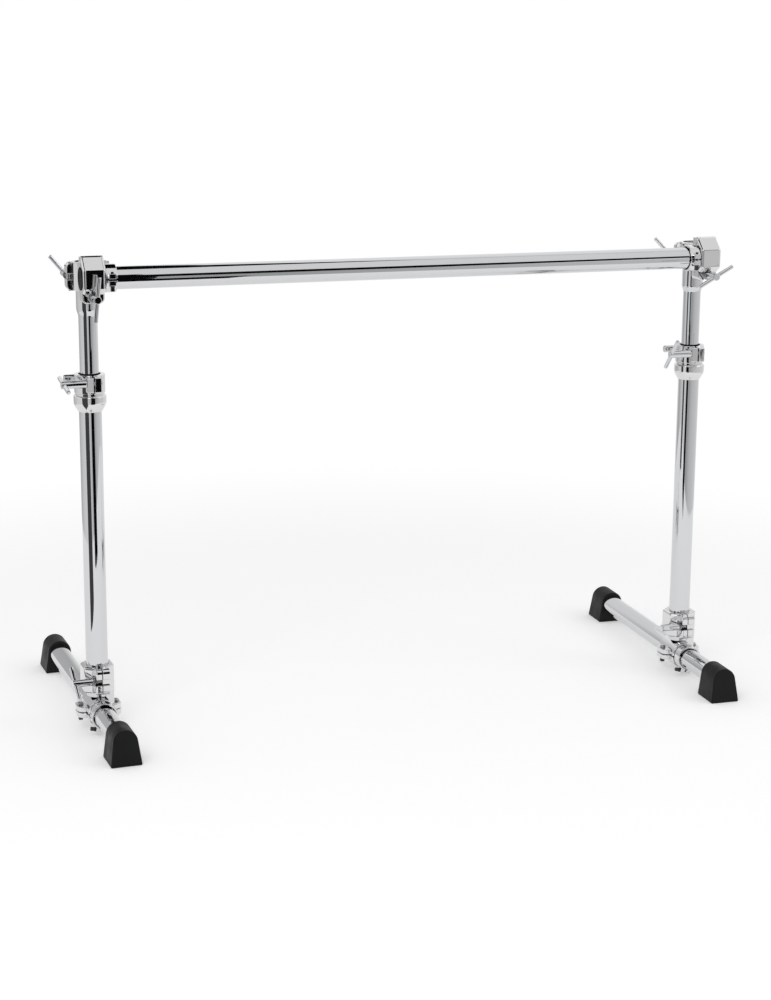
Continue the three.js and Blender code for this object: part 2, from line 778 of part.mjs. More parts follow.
function buildLeg(side) {
  const turns = wingTurns[side];
  const inward = side === 'left' ? 1 : -1;
  const lockX = inward * (barEnd.length / 2 + lockToClamp + lockLength / 2);
  const toBarLock = frameOf(along.y, along.z, new THREE.Vector3(lockX, -barToUpright, barHeight));

  const unit = new THREE.Group();
  unit.add(
    meshIn(toBarLock, `${side}_bar_lock`, lockRing(), castChrome),
    meshIn(toBarLock, `${side}_bar_lock_screw`, lockScrew(), steel),
    meshOf(`${side}_top_clamp`, topClamp(), castChrome),
    meshIn(toBar, `${side}_bar_jaw`, jaw(barEnd), castChrome),
    meshIn(toBar, `${side}_bar_washer`, washer(), steel),
    meshIn(toBar, `${side}_bar_wing_nut`, wingNut(turns.bar), chrome),
    meshIn(toUpright, `${side}_upright_jaw`, jaw(uprightEnd), castChrome),
    meshIn(toUpright, `${side}_upright_eye_bolt`, eyeBolt(uprightEnd), steel),
    meshIn(toUpright, `${side}_upright_washer`, washer(), steel),
    meshIn(toUpright, `${side}_upright_wing_nut`, wingNut(turns.upright), chrome),
  );

  const leg = new THREE.Group();
  leg.rotation.z = THREE.MathUtils.degToRad(inward * toeInDegrees);
  const frontFoot = meshOf(`${side}_front_foot`, foot(), blackRubber);
  frontFoot.position.y = -frontReach;
  const backFoot = meshOf(`${side}_back_foot`, foot(), blackRubber);
  backFoot.position.y = backReach;
  backFoot.rotation.z = Math.PI;
  leg.add(
    meshOf(`${side}_upper_tube`, upperTube(), chrome),
    meshOf(`${side}_height_clamp`, heightClamp(), castChrome),
    meshOf(`${side}_height_bush`, heightBush(), blackNylon),
    meshOf(`${side}_height_wing_bolt`, heightWingBolt(turns.height), chrome),
    meshOf(`${side}_height_rear_bolt`, heightRearBolt(), steel),
    meshOf(`${side}_lower_tube`, lowerTube(), chrome),
    meshOf(`${side}_base_clamp`, baseClamp(), castChrome),
    meshIn(toSocket, `${side}_base_jaw`, jaw(baseEnd), castChrome),
    meshIn(toSocket, `${side}_base_washer`, washer(), steel),
    meshIn(toSocket, `${side}_base_wing_nut`, wingNut(turns.base), chrome),
    meshOf(`${side}_base_cap`, baseCap(), castChrome),
    meshOf(`${side}_base_bolt_left`, baseCapBolt(-1), steel),
    meshOf(`${side}_base_bolt_right`, baseCapBolt(1), steel),
    meshOf(`${side}_floor_tube`, floorTube(), chrome),
    meshIn(toFloorLock, `${side}_floor_lock`, lockRing(), castChrome),
    meshIn(toFloorLock, `${side}_floor_lock_screw`, lockScrew(), steel),
    frontFoot,
    backFoot,
  );
  unit.add(leg);
  unit.position.x = (-inward * legSpacing) / 2;
  return unit;
}

const frame = new THREE.Group();

const bar = meshOf('bar_tube', barTube(), chrome);
bar.position.set(0, -barToUpright, barHeight);
const leftCap = meshOf('bar_cap_left', barCap(), blackNylon);
leftCap.position.set(-barLength / 2, -barToUpright, barHeight);
leftCap.rotation.y = -Math.PI / 2;
const rightCap = meshOf('bar_cap_right', barCap(), blackNylon);
rightCap.position.set(barLength / 2, -barToUpright, barHeight);
rightCap.rotation.y = Math.PI / 2;
frame.add(bar, leftCap, rightCap, buildLeg('left'), buildLeg('right'));

// The origin is on the floor, midway between the outermost faces
const extent = new THREE.Box3().setFromObject(frame, true);
const middle = extent.getCenter(new THREE.Vector3());
frame.position.set(-middle.x, -middle.y, -extent.min.z);

export default frame;
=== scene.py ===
"""Drum rack frame: chrome tubes, cast clamps, T-handles and rubber feet.

Lengths are in metres, +X along the bar, +Y away from the player, +Z up. The working frame
gives the joint axes, the bodies and the space of each piece. Every piece here is drawn as a
smooth surface in that space and rides on the body of the node that it stands for.
"""

import json
import math

import bpy
import numpy as np
from bpy.props import FloatProperty, FloatVectorProperty, PointerProperty, StringProperty
from mathutils import Matrix, Vector

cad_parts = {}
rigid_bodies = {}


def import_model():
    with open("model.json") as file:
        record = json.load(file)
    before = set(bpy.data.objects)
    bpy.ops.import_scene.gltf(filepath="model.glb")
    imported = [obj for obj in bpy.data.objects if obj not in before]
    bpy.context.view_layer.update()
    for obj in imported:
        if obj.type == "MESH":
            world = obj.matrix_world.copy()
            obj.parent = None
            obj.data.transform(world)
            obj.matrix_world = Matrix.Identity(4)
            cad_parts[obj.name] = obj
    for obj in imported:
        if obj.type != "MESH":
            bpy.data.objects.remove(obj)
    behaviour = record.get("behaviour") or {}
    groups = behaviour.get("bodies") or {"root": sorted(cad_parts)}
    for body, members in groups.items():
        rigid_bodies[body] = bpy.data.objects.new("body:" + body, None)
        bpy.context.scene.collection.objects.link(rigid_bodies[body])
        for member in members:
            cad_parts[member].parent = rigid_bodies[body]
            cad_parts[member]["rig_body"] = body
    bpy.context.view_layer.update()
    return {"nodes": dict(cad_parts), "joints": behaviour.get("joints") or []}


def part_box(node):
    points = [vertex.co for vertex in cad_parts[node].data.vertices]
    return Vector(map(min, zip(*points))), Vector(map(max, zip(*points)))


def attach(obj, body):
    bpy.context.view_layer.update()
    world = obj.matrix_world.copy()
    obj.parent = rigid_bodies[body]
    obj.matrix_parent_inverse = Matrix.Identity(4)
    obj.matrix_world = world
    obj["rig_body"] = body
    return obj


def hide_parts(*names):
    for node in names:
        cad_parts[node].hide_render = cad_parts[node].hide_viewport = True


bl_info = {
    "name": "Drum rack frame",
    "version": (1, 0, 0),
    "blender": (4, 5, 0),
    "location": "3D View > Sidebar > Drum Rack",
    "description": "Draws a chrome drum rack frame around its working model",
    "category": "Object",
}

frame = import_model()

MM = 0.001
CLEAR = 0.3 * MM  # the gap between two pieces that fit together
BEYOND = 60 * MM  # how far a cutting shape runs, so that it passes through a casting
SIDES = ("left", "right")
JOINTS = {joint["name"]: joint for joint in frame["joints"]}

# Turned position of each crossbar, in degrees from the clamp end's z axis
HANDLE_TURNS = {
    "left": {"bar": 84, "upright": -40, "height": 80, "base": 60},
    "right": {"bar": 29, "upright": -45, "height": -42, "base": 105},
}


# Sizes and colours

def length(label, millimetres, text):
    """A size that a user can change, given in millimetres and kept in metres."""
    return FloatProperty(
        name=label, description=text, default=millimetres * MM, precision=5, unit="LENGTH"
    )


def colour(label, code, text):
    """An sRGB hex colour that a user can change."""
    return StringProperty(name=label, description=text, default=code)


class TubeSizes(bpy.types.PropertyGroup):
    """Tubes, their walls and the plastic caps of the bar."""

    radius: length("Tube radius", 19.05, "Outside radius of the bar, lower and floor tubes")
    wall: length("Wall", 1.6, "Wall of the large tubes")
    inner_radius: length("Inner tube radius", 15.875, "Outside radius of the upper tube")
    inner_wall: length("Inner tube wall", 1.5, "Wall of the upper tube")
    swage_length: length("Swage length", 72, "Length of the upper tube's wide top")
    swage_taper: length("Swage taper", 14, "Length over which the top narrows")
    edge: length("Edge", 0.5, "Rounding of the cut tube ends")
    plug: length("Plug depth", 16, "How far an end cap reaches into the bar")
    rim: length("Cap rim", 2.5, "Thickness of an end cap's rim")


class ClampSizes(bpy.types.PropertyGroup):
    """The hinged halves that hold a tube: the body, the jaw, the hinge and the closure."""

    bore: length("Bore", 19.35, "Radius of the tube seat")
    gap: length("Half gap", 0.6, "Half the gap between the two halves")
    hinge: length("Hinge reach", 31, "From the tube's axis to the hinge pin")
    knuckle: length("Knuckle radius", 6.5, "Radius of the hinge knuckles")
    room: length("Knuckle room", 0.4, "Clearance round and beside a knuckle")
    ear: length("Ear thickness", 7, "Thickness of the two outer knuckles")
    pin: length("Pin radius", 3, "Radius of the hinge pin")
    bolt: length("Bolt reach", 30, "From the tube's axis to the closing stud")
    slot: length("Half slot", 4.85, "Half the width of the slot for the stud")
    closure_corner: length("Closure corner", 9, "Corner radius of the lugs")
    hinge_corner: length("Hinge corner", 6, "Corner radius beside the hinge")
    jaw_lug: length("Jaw lug depth", 11, "Depth of the jaw's lugs")
    body_lug: length("Body lug depth", 14, "Depth of the body's lugs")
    jaw_depth: length("Jaw depth", 27, "From the tube's axis to the jaw's front")
    jaw_end: length("Jaw end rounding", 5, "Rounding of the jaw's two ends")
    lug_edge: length("Lug rounding", 3, "Rounding of the front of the jaw's lugs")
    ear_end: length("Ear rounding", 2, "Rounding of the hinge's outer ends")
    web: length("Half web", 19, "Half the width of the web between a top clamp's ends")
    edge: length("Edge", 1.2, "Rounding of the cast edges")


class HandleSizes(bpy.types.PropertyGroup):
    """T-handled nuts and bolts, their studs and washers."""

    stud: length("Stud radius", 4, "Radius of the threaded studs")
    stud_end: length("Stud end", 33, "From the parting plane to the stud's end")
    pitch: length("Thread pitch", 1.25, "Pitch of the stud's thread")
    hub: length("Hub radius", 6.5, "Radius of the handle's hub")
    hub_end: length("Hub end", 50, "From the parting plane to the hub's end")
    bar: length("Crossbar radius", 3.65, "Radius of the handle's crossbar")
    bar_half: length("Half crossbar", 37.5, "Half the length of the crossbar")
    bar_depth: length("Crossbar depth", 45, "From the parting plane to the crossbar")
    washer: length("Washer radius", 8, "Outside radius of the washers")
    washer_wall: length("Washer thickness", 2, "Thickness of the washers")
    eye: length("Eye radius", 6.3, "Outside radius of the swinging bolt's eye")
    eye_pin: length("Eye pin radius", 2.5, "Radius of the pin through the eye")
    eye_depth: length("Eye depth", 8, "From the parting plane back to the eye's pin")


class HeightSizes(bpy.types.PropertyGroup):
    """The clamp at the top of a lower tube: a flared cup and a split band."""

    bottom: length("Cup bottom", 562.5, "Height of the cup's lower rim")
    rim: length("Rim wall", 1.1, "Wall of the cup at its lower rim")
    cup: length("Cup radius", 27.5, "Widest radius of the cup")
    flare: length("Flare", 17, "Height over which the cup widens")
    cup_length: length("Cup length", 28, "Height of the whole cup")
    neck: length("Neck radius", 24.5, "Radius of the groove over the cup")
    neck_length: length("Neck length", 3.5, "Height of that groove")
    band: length("Band radius", 26, "Outside radius of the split band")
    band_length: length("Band length", 32, "Height of the band")
    slit: length("Slit", 2, "Width of the slit in the band")
    lug_reach: length("Lug reach", 39, "From the tube's axis to the front of the lugs")
    lug_half: length("Half lug width", 12, "Half the width over both lugs")
    lug_height: length("Lug height", 26, "Height of the lugs")
    lug_turn: FloatProperty(
        name="Lug turn", description="How far the left lug's front turns away", default=0.19,
        subtype="ANGLE",
    )
    rear_reach: length("Rear lug reach", 38, "From the tube's axis to the rear lug's back")
    rear_half: length("Half rear lug", 9, "Half the width of the rear lug")
    hub_end: length("Hub end", 55, "From the tube's axis to the handle's hub end")
    bar_depth: length("Crossbar depth", 50, "From the tube's axis to the handle's crossbar")
    head: length("Rear bolt head", 28, "Length of the rear bolt's round head")
    bush: length("Bush length", 86, "Length of the plastic bush")
    proud: length("Bush lip", 1.5, "How far the bush stands out of the band")


class BaseSizes(bpy.types.PropertyGroup):
    """The base clamp: a hinged socket on a saddle, and the bolted cap below."""

    tube_height: length("Floor tube height", 35.4, "Height of the floor tube's axis")
    floor: length("Socket floor", 60, "Height of the saddle's top")
    length: length("Saddle length", 66, "Length of the saddle's sleeve")
    root: length("Root depth", 20, "Depth of the pillar between the saddle and the socket")
    root_half: length("Half root", 16, "Half the width of that pillar")
    flange: length("Flange width", 78, "Width over the bolted flanges")
    flange_length: length("Flange length", 40, "Length of the flanges")
    flange_corner: length("Flange corner", 13, "Corner radius of the flanges")
    flange_wall: length("Flange thickness", 9, "Thickness of the flanges")
    bolt: length("Bolt reach", 31.5, "From the floor tube's axis to the cap bolts")
    cap_depth: length("Cap depth", 26, "From the floor tube's axis to the cap's bottom")
    shank: length("Bolt radius", 3, "Radius of the cap bolts")
    head: length("Bolt head", 7, "Width of the cap bolts' square heads")
    head_length: length("Bolt head length", 8, "Length of those heads")
    nut: length("Nut radius", 5.5, "Radius of the domed nuts on the flanges")
    dome: length("Dome height", 2.7, "Height of a nut's dome over its rim")


class LockSizes(bpy.types.PropertyGroup):
    """Memory locks: a split ring with a key screw."""

    radius: length("Ring radius", 23.5, "Outside radius of the ring")
    width: length("Ring width", 19, "Width of the ring along the tube")
    gap: length("Gap", 3, "Width of the split")
    lug: length("Lug reach", 30, "From the tube's axis to the end of the lugs")
    lug_width: length("Lug width", 12, "Width of the lugs along the tube")
    lug_height: length("Lug height", 20, "Height over both lugs")
    screw_reach: length("Screw reach", 25.6, "From the tube's axis to the screw")
    screw: length("Screw radius", 2.5, "Radius of the screw")
    head: length("Head size", 6, "Width of the screw's square head")
    head_length: length("Head length", 9, "Length of the screw's head")
    collar: length("Collar radius", 4.2, "Radius of the collar under the head")
    collar_wall: length("Collar thickness", 1.6, "Thickness of the collar")
    pitch: length("Thread pitch", 0.8, "Pitch of the screw's thread")


class FootSizes(bpy.types.PropertyGroup):
    """Rubber feet on the floor tubes."""

    length: length("Foot length", 62, "Length of a foot along its tube")
    width: length("Foot width", 54.4, "Width of a foot at its sole")
    height: length("Foot height", 61.4, "Height of a foot")
    front: length("Front reach", 212, "From the upright to the front foot's face")
    back: length("Back reach", 387, "From the upright to the back foot's face")
    side_wall: length("Side wall", 2.1, "Thickness of the round top's flanks")
    wall: length("End wall", 4, "Thickness of the closed end over the tube")
    lean: length("End lean", 8, "How far the closed end leans back at its top")
    edge: length("Edge", 3, "Rounding of the foot's edges")
    rib_depth: length("Rib depth", 2.4, "Depth of the grooves in the sole")


class Finishes(bpy.types.PropertyGroup):
    """Colours of the plating, plastic and rubber."""

    chrome: colour("Chrome", "#d4d5d7", "Bright chrome plate on drawn tube")
    cast: colour("Cast chrome", "#dcdcdd", "Chrome plate on die-cast zinc")
    zinc: colour("Zinc plate", "#a9abac", "Clear zinc plate on steel")
    oxide: colour("Black oxide", "#434547", "Black oxide on steel screws")
    nylon: colour("Nylon", "#151617", "Black moulded nylon")
    rubber: colour("Rubber", "#0c0d0e", "Black moulded rubber")
    rubber_dust: colour("Rubber bloom", "#151718", "Dull bloom on the rubber")
    floor: colour("Floor", "#f4f4f4", "Pale floor")


class StudioValues(bpy.types.PropertyGroup):
    """Camera and light."""

    camera: FloatVectorProperty(
        name="Camera", description="Where the camera stands", subtype="TRANSLATION",
        unit="LENGTH", default=(-1.17853, -3.53960, 1.22952),
    )
    forward: FloatVectorProperty(
        name="Forward", description="The way the camera looks", subtype="DIRECTION",
        default=(0.30872823, 0.92306172, -0.22944267),
    )
    across: FloatVectorProperty(
        name="Across", description="The image's own rightward direction", subtype="DIRECTION",
        default=(0.94879764, -0.31582614, 0.00607382),
    )
    lens: FloatProperty(
        name="Lens", description="Focal length on a 36 mm high image, in millimetres",
        default=75.41,
    )
    world: FloatProperty(
        name="World light", description="Strength of the plain white surroundings on matt surfaces",
        default=0.72,
    )
    key: FloatProperty(name="Key light", description="Power of the main soft light", default=26.0)
    fill: FloatProperty(name="Fill light", description="Power of the second soft light", default=9.0)


GROUPS = {
    "rack_tubes": TubeSizes,
    "rack_clamp": ClampSizes,
    "rack_handle": HandleSizes,
    "rack_height": HeightSizes,
    "rack_base": BaseSizes,
    "rack_lock": LockSizes,
    "rack_foot": FootSizes,
    "rack_finish": Finishes,
    "rack_studio": StudioValues,
}


def sizes(name):
    """One group of values from the scene."""
    return getattr(bpy.context.scene, "rack_" + name)


# Shells: closed surfaces as an array of points and a list of faces

def mm(*values):
    """Millimetres as an array in metres."""
    return np.array(values) * MM


def circle(count):
    """Angles all the way round."""
    return np.linspace(0, 2 * np.pi, count, endpoint=False)


def rings_at(radius, height, turn):
    """Points x = r cos a, y = r sin a, z = h, with a ring for each height."""
    return np.stack([radius * np.cos(turn), radius * np.sin(turn), height + 0 * turn], -1)


def ring_faces(rows, columns, closed=False):
    """Quads between neighbouring rings of a grid. Each ring closes on itself; with closed,
    the last ring also joins the first."""
    row = np.arange(rows if closed else rows - 1)[:, None]
    column = np.arange(columns)[None, :]
    after = (column + 1) % columns
    above = (row + 1) % rows
    corners = [
        row * columns + column, row * columns + after,
        above * columns + after, above * columns + column,
    ]
    return np.stack(corners, -1).reshape(-1, 4).tolist()


def capped(rings):
    """A stack of rings, shape (rows, columns, 3), closed by a flat face at each end."""
    rows, columns = rings.shape[:2]
    ends = [list(range(columns))[::-1], list(range((rows - 1) * columns, rows * columns))]
    return rings.reshape(-1, 3), ring_faces(rows, columns) + ends


def stacked(outlines, heights):
    """Outlines in x, y, shape (rows, columns, 2), each at its height, as a closed shell."""
    tall = np.broadcast_to(heights[:, None, None], outlines.shape[:2] + (1,))
    return capped(np.concatenate([outlines, tall], -1))


def turned(profile, around=64, hollow=False):
    """A profile of (radius, height) points turned about z by 360 degrees. It starts and ends
    in a flat face. A hollow one closes on itself: up the outside and down the bore."""
    radius, height = np.array(profile, float).T[:, :, None]
    rings = rings_at(radius, height, circle(around))
    if hollow:
        return rings.reshape(-1, 3), ring_faces(len(rings), around, True)
    return capped(rings)


def thread(radius, pitch, low, high, around=24, per_turn=6):
    """A threaded rod: the radius falls by a third of the pitch and back once in each pitch,
    along a helix, r = radius - pitch / 3 (1 - cos(2 pi (z - low) / pitch - a)) / 2. Over the
    last pitch it narrows to the thread's root."""
    height = np.linspace(low, high, int((high - low) / pitch * per_turn) + 2)[:, None]
    turn = circle(around)
    wave = (1 - np.cos(2 * np.pi * (height - low) / pitch - turn)) / 2
    taper = np.clip((high - height) / pitch, 0, 1)
    return capped(rings_at(radius - pitch / 3 * (1 - taper * (1 - wave)), height, turn))


def arc(centre, radius, start, end, count):
    """Points on a circle from one angle to another, in degrees."""
    turn = np.radians(np.linspace(start, end, count))
    return np.stack([centre[0] + radius * np.cos(turn), centre[1] + radius * np.sin(turn)], -1)


def rounded(*items, steps=6):
    """A closed outline. An item is a corner (x, y, radius), drawn as an arc that touches both
    of its sides, or an array of points that is kept as it is."""
    rows = [np.atleast_2d(np.array(item, float)) for item in items]
    points = np.concatenate([row[:, :2] for row in rows])
    radii = np.concatenate([row[:, 2] if row.shape[1] == 3 else 0 * row[:, 0] for row in rows])
    before, after = np.roll(points, 1, 0) - points, np.roll(points, -1, 0) - points
    before /= np.linalg.norm(before, axis=1)[:, None]
    after /= np.linalg.norm(after, axis=1)[:, None]
    share = np.linspace(0, 1, steps)[:, None]
    pieces = []
    for point, radius, back, ahead in zip(points, radii, before, after):
        if radius == 0:
            pieces.append(point[None])
            continue
        half = math.acos(float(np.clip(back @ ahead, -1, 1))) / 2
        middle = (back + ahead) / np.linalg.norm(back + ahead)
        centre = point + middle * radius / math.sin(half)
        first, last = (point + way * radius / math.tan(half) - centre for way in (back, ahead))
        sweep = math.pi - 2 * half
        bend = np.sin(sweep * (1 - share)) * first + np.sin(sweep * share) * last
        pieces.append(centre + bend / math.sin(sweep))
    return np.concatenate(pieces)


def oblong(x, y, radii):
    """A rectangle's outline, with the corner radii anticlockwise from low x, low y."""
    corners = zip((x[0], x[1], x[1], x[0]), (y[0], y[0], y[1], y[1]), np.broadcast_to(radii, 4))
    return rounded(*corners)


def split_ring(centre, outer, inner, start, end, half_gap, counts):
    """A ring's outline between two angles in degrees, where a gap of even width is cut."""
    cut = [math.degrees(math.asin(half_gap / radius)) for radius in (outer, inner)]
    return rounded(
        arc(centre, outer, start + cut[0], end - cut[0], counts[0]),
        arc(centre, inner, end - cut[1], start + cut[1], counts[1]),
    )


def round_ends(low, high, edge, steps):
    """Quarter-round ends of one radius or of two: how far in each ring is drawn, and its
    height. A ring at angle a is drawn in by e (1 - sin a), and lies e (1 - cos a) inside."""
    rounds = []
    for size in np.broadcast_to(edge, 2):
        turn = np.linspace(0, np.pi / 2, steps + 1 if size else 1)
        rounds.append((size * (1 - np.sin(turn)), size * (1 - np.cos(turn))))
    (first, rise), (last, fall) = rounds
    return np.r_[first, last[::-1]], np.r_[low + rise, high - fall[::-1]]


def prism(outline, low, high, edge=1.0 * MM, steps=4):
    """An outline in x, y carried from z low to high, with quarter-round ends."""
    area = np.cross(outline, np.roll(outline, -1, 0)).sum()
    outline = outline if area > 0 else outline[::-1]
    insets, heights = round_ends(low, high, edge, steps)
    along = np.roll(outline, -1, 0) - outline
    along /= np.linalg.norm(along, axis=1)[:, None]
    out = np.stack([along[:, 1], -along[:, 0]], -1)
    normal = out + np.roll(out, 1, 0)
    normal /= np.linalg.norm(normal, axis=1)[:, None]
    normal /= np.maximum((normal * out).sum(1), 0.5)[:, None]
    return stacked(outline - insets[:, None, None] * normal, heights)


def rod(radius, low, high, edge=0.0, around=48, steps=4):
    """A round bar along z with quarter-round ends: one radius, or one for each end."""
    insets, heights = round_ends(low, high, edge, steps)
    return turned(np.stack([radius - insets, heights], -1), around)


def box(x, y, z, corner=1.0 * MM, edge=1.0 * MM):
    """A block with round upright corners and round top and bottom edges."""
    return prism(oblong(x, y, corner), *z, edge)


def hexagon(radius, low, high):
    """A hexagon nut with softened edges; radius is to its corners."""
    corners = [(x, y, 0.6 * MM) for x, y in arc((0, 0), radius, 0, 300, 6)]
    return prism(rounded(*corners), low, high, 0.6 * MM)


def flat_ring(outer, inner, low, high, edge=0.35 * MM):
    """A flat ring about z with small chamfers outside."""
    outside = [(outer - edge, low), (outer, low + edge), (outer, high - edge), (outer - edge, high)]
    return turned([(inner, low), *outside, (inner, high)], 64, True)


def placed(shell, matrix):
    """A shell moved into place. A mirroring matrix isn't used."""
    points, faces = shell
    matrix = np.array(matrix, float)
    return points @ matrix[:3, :3].T + matrix[:3, 3], faces


def axes(x, y, origin=(0, 0, 0)):
    """The frame whose x and y axes are given, as a 4 by 4 matrix."""
    x, y = Vector(x), Vector(y)
    matrix = Matrix((x, y, x.cross(y))).transposed().to_4x4()
    matrix.translation = origin
    return matrix


def from_front(height=0):
    """The frame whose z axis runs to the front at a height, with y up."""
    return axes((1, 0, 0), (0, 0, 1), (0, 0, height))


# Meshes and objects

def mesh_of(shells, name="shell"):
    """One mesh that holds all the shells."""
    points = np.concatenate([shell[0] for shell in shells])
    starts = np.cumsum([0] + [len(shell[0]) for shell in shells]).tolist()
    faces = [[i + start for i in face] for start, shell in zip(starts, shells) for face in shell[1]]
    mesh = bpy.data.meshes.new(name)
    mesh.from_pydata(points.tolist(), [], faces)
    mesh.update()
    return mesh


def shown(name, data):
    """A new object, linked to the scene."""
    item = bpy.data.objects.new(name, data)
    bpy.context.scene.collection.objects.link(item)
    return item


def fused(shells, *stages):
    """One solid: the shells joined, then for each pair in stages, such as DIFFERENCE and a list
    of shells, that Boolean with them."""
    solid = shown("scratch", mesh_of(shells[:1]))
    scratch, groups = [solid], []
    for operation, parts in (("UNION", shells[1:]), *zip(stages[::2], stages[1::2])):
        if not parts:
            continue
        items = [bpy.data.objects.new("scratch", mesh_of([part])) for part in parts]
        scratch += items
        modifier = solid.modifiers.new(operation, "BOOLEAN")
        modifier.operation = operation
        modifier.solver = "MANIFOLD"
        if len(items) == 1:
            modifier.object = items[0]
            continue
        modifier.operand_type = "COLLECTION"
        modifier.collection = bpy.data.collections.new("scratch")
        groups.append(modifier.collection)
        for item in items:
            modifier.collection.objects.link(item)
    graph = bpy.context.evaluated_depsgraph_get()
    mesh = bpy.data.meshes.new_from_object(solid.evaluated_get(graph))
    bpy.data.batch_remove([*scratch, *groups, *(item.data for item in scratch)])
    return mesh


def put(node, mesh, matrix, look, extra="", slot=None):
    """A finished piece: a copy of the mesh in one of the looks, put where the node is, on the
    node's body. The slot argument is not used. A piece with an extra name comes beside the
    one that replaces the node."""
    copy = mesh.copy()
    copy.transform(matrix)
    copy.materials.clear()
    copy.materials.append(material_of(look))
    copy.shade_smooth()
    copy.set_sharp_from_angle(angle=math.radians(32))
    item = shown(f"{node}_{extra or 'form'}", copy)
    item.modifiers.new("flats", "WEIGHTED_NORMAL").keep_sharp = True
    slot = slot or look
    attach(item, frame["nodes"][node]["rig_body"])
    if not extra:
        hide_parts(node)


# Frames of the two legs

BAR_Y, BAR_HEIGHT = JOINTS["left_clamp_tilt"]["pos_m"][1:]
LEFT_UPRIGHT = JOINTS["left_leg_swivel"]["pos_m"]
BAR_REACH = BAR_Y - LEFT_UPRIGHT[1]
SOCKET_HEIGHT = JOINTS["left_base_swivel"]["pos_m"][2]

# Length, closure reach and back depth of each clamp end
ENDS = {
    "bar": mm(38, 41, 24),
    "upright": mm(47, 36, 24),
    "base": mm(47, 41, 26),
}


def unit_frame(side):
    """The upright's axis on the floor, with x along the bar."""
    x, y, _ = JOINTS[f"{side}_leg_swivel"]["pos_m"]
    return Matrix.Translation((x, y, 0))


def leg_frame(side):
    """As unit_frame, but turned with the toed-in leg."""
    front = JOINTS[f"{side}_floor_slide"]["axis"]
    return unit_frame(side) @ Matrix.Rotation(math.atan2(front[0], -front[1]), 4, "Z")


def own_frame(end):
    """A clamp end's frame in its leg: z along the tube, the jaw on the +y side."""
    if end == "bar":
        return axes((0, 0, 1), (0, -1, 0), (0, BAR_REACH, BAR_HEIGHT))
    if end == "upright":
        return axes((1, 0, 0), (0, 1, 0), (0, 0, BAR_HEIGHT))
    return axes((0, 1, 0), (-1, 0, 0), (0, 0, SOCKET_HEIGHT))


def within(matrix, leg=leg_frame):
    """Gives the place on either side that the matrix describes within a leg."""
    return lambda side: leg(side) @ matrix


def at_end(end):
    """Gives a clamp end's frame on either side."""
    return within(own_frame(end), leg_frame if end == "base" else unit_frame)


def along_bar(x, way=1):
    """A frame on the bar's axis, z to the right, or to the left where way is -1."""
    return axes((0, way, 0), (0, 0, 1), (x, BAR_Y, BAR_HEIGHT))


def pair(name, mesh, look, place=leg_frame, extra="", slot=None):
    """The same piece on both legs; place gives its frame on a side."""
    for side in SIDES:
        put(f"{side}_{name}", mesh, place(side), look, extra, slot)


# Materials

def linear(code):
    """An sRGB hex colour as linear red, green, blue and alpha."""
    channels = np.array([int(code[i:i + 2], 16) / 255 for i in (1, 3, 5)])
    low = channels / 12.92
    high = ((channels + 0.055) / 1.055) ** 2.4
    return (*np.where(channels <= 0.04045, low, high), 1.0)


def add(tree, kind, settings=None, links=None, **values):
    """Adds a node: settings are its own fields, values its input sockets by name, and links
    pairs of an input socket and what feeds it, an output socket or a node's first one."""
    node = tree.nodes.new(kind)
    for field, value in (settings or {}).items():
        setattr(node, field, value)
    for socket, value in values.items():
        node.inputs[socket.replace("_", " ")].default_value = value
    for socket, source in (links or {}).items():
        tree.links.new(getattr(source, "outputs", [source])[0], node.inputs[socket])
    return node


def new_material(name):
    """A material without nodes, and its node tree."""
    material = bpy.data.materials.new(name)
    material.use_nodes = True
    material.node_tree.nodes.clear()
    return material, material.node_tree


def finish(material, shader):
    """Shows the shader as the material's surface."""
    add(material.node_tree, "ShaderNodeOutputMaterial", links={"Surface": shader})
    return material


def noise(tree, size, detail, roughness=0.5):
    """Noise in the object's own space, whose features are about size across."""
    place = add(tree, "ShaderNodeTexCoord").outputs["Object"]
    return add(
        tree, "ShaderNodeTexNoise", links={"Vector": place},
        Scale=1 / size, Detail=detail, Roughness=roughness,
    )


def spread(tree, value, low, high, first, last):
    """A value between low and high as one between first and last."""
    return add(
        tree, "ShaderNodeMapRange", links={"Value": value},
        From_Min=low, From_Max=high, To_Min=first, To_Max=last,
    )


def bump(tree, height, strength, depth):
    """A relief in the surface."""
    links = {"Height": height}
    return add(tree, "ShaderNodeBump", links=links, Strength=strength, Distance=depth)


def plated(name, code, roughness, smear, wave, wave_size):
    """Chrome plate. Smear is how far hand marks dull it, and wave how far the metal under
    the plate bends the reflections, in waves about wave_size across. The marks are about
    18 mm across, as a finger leaves them."""
    material, tree = new_material(name)
    marks = noise(tree, 18 * MM, 5.0, 0.62)
    links = {
        "Roughness": spread(tree, marks, 0.42, 0.72, roughness, roughness + smear),
        "Normal": bump(tree, noise(tree, wave_size, 1.0), wave, 0.6 * MM),
    }
    values = {"Base_Color": linear(code), "Metallic": 1.0}
    return finish(material, add(tree, "ShaderNodeBsdfPrincipled", links=links, **values))


def chrome_tube():
    # Bright chrome plate over polished drawn steel: a near mirror, with faint hand marks
    return plated("Chrome plated steel tube", sizes("finish").chrome, 0.03, 0.04, 0.004, 160 * MM)


def chrome_cast():
    # Chrome plate over die-cast zinc: the casting's soft waves bend the reflections
    return plated("Chrome plated zinc casting", sizes("finish").cast, 0.05, 0.06, 0.2, 24 * MM)


def steel(name, code, rough):
    """Satin metal whose film of plate or oxide is patchy, in spots about 6 mm across."""
    material, tree = new_material(name)
    links = {"Roughness": spread(tree, noise(tree, 6 * MM, 4.0), 0.35, 0.7, rough, rough + 0.16)}
    values = {"Base_Color": linear(code), "Metallic": 1.0}
    return finish(material, add(tree, "ShaderNodeBsdfPrincipled", links=links, **values))


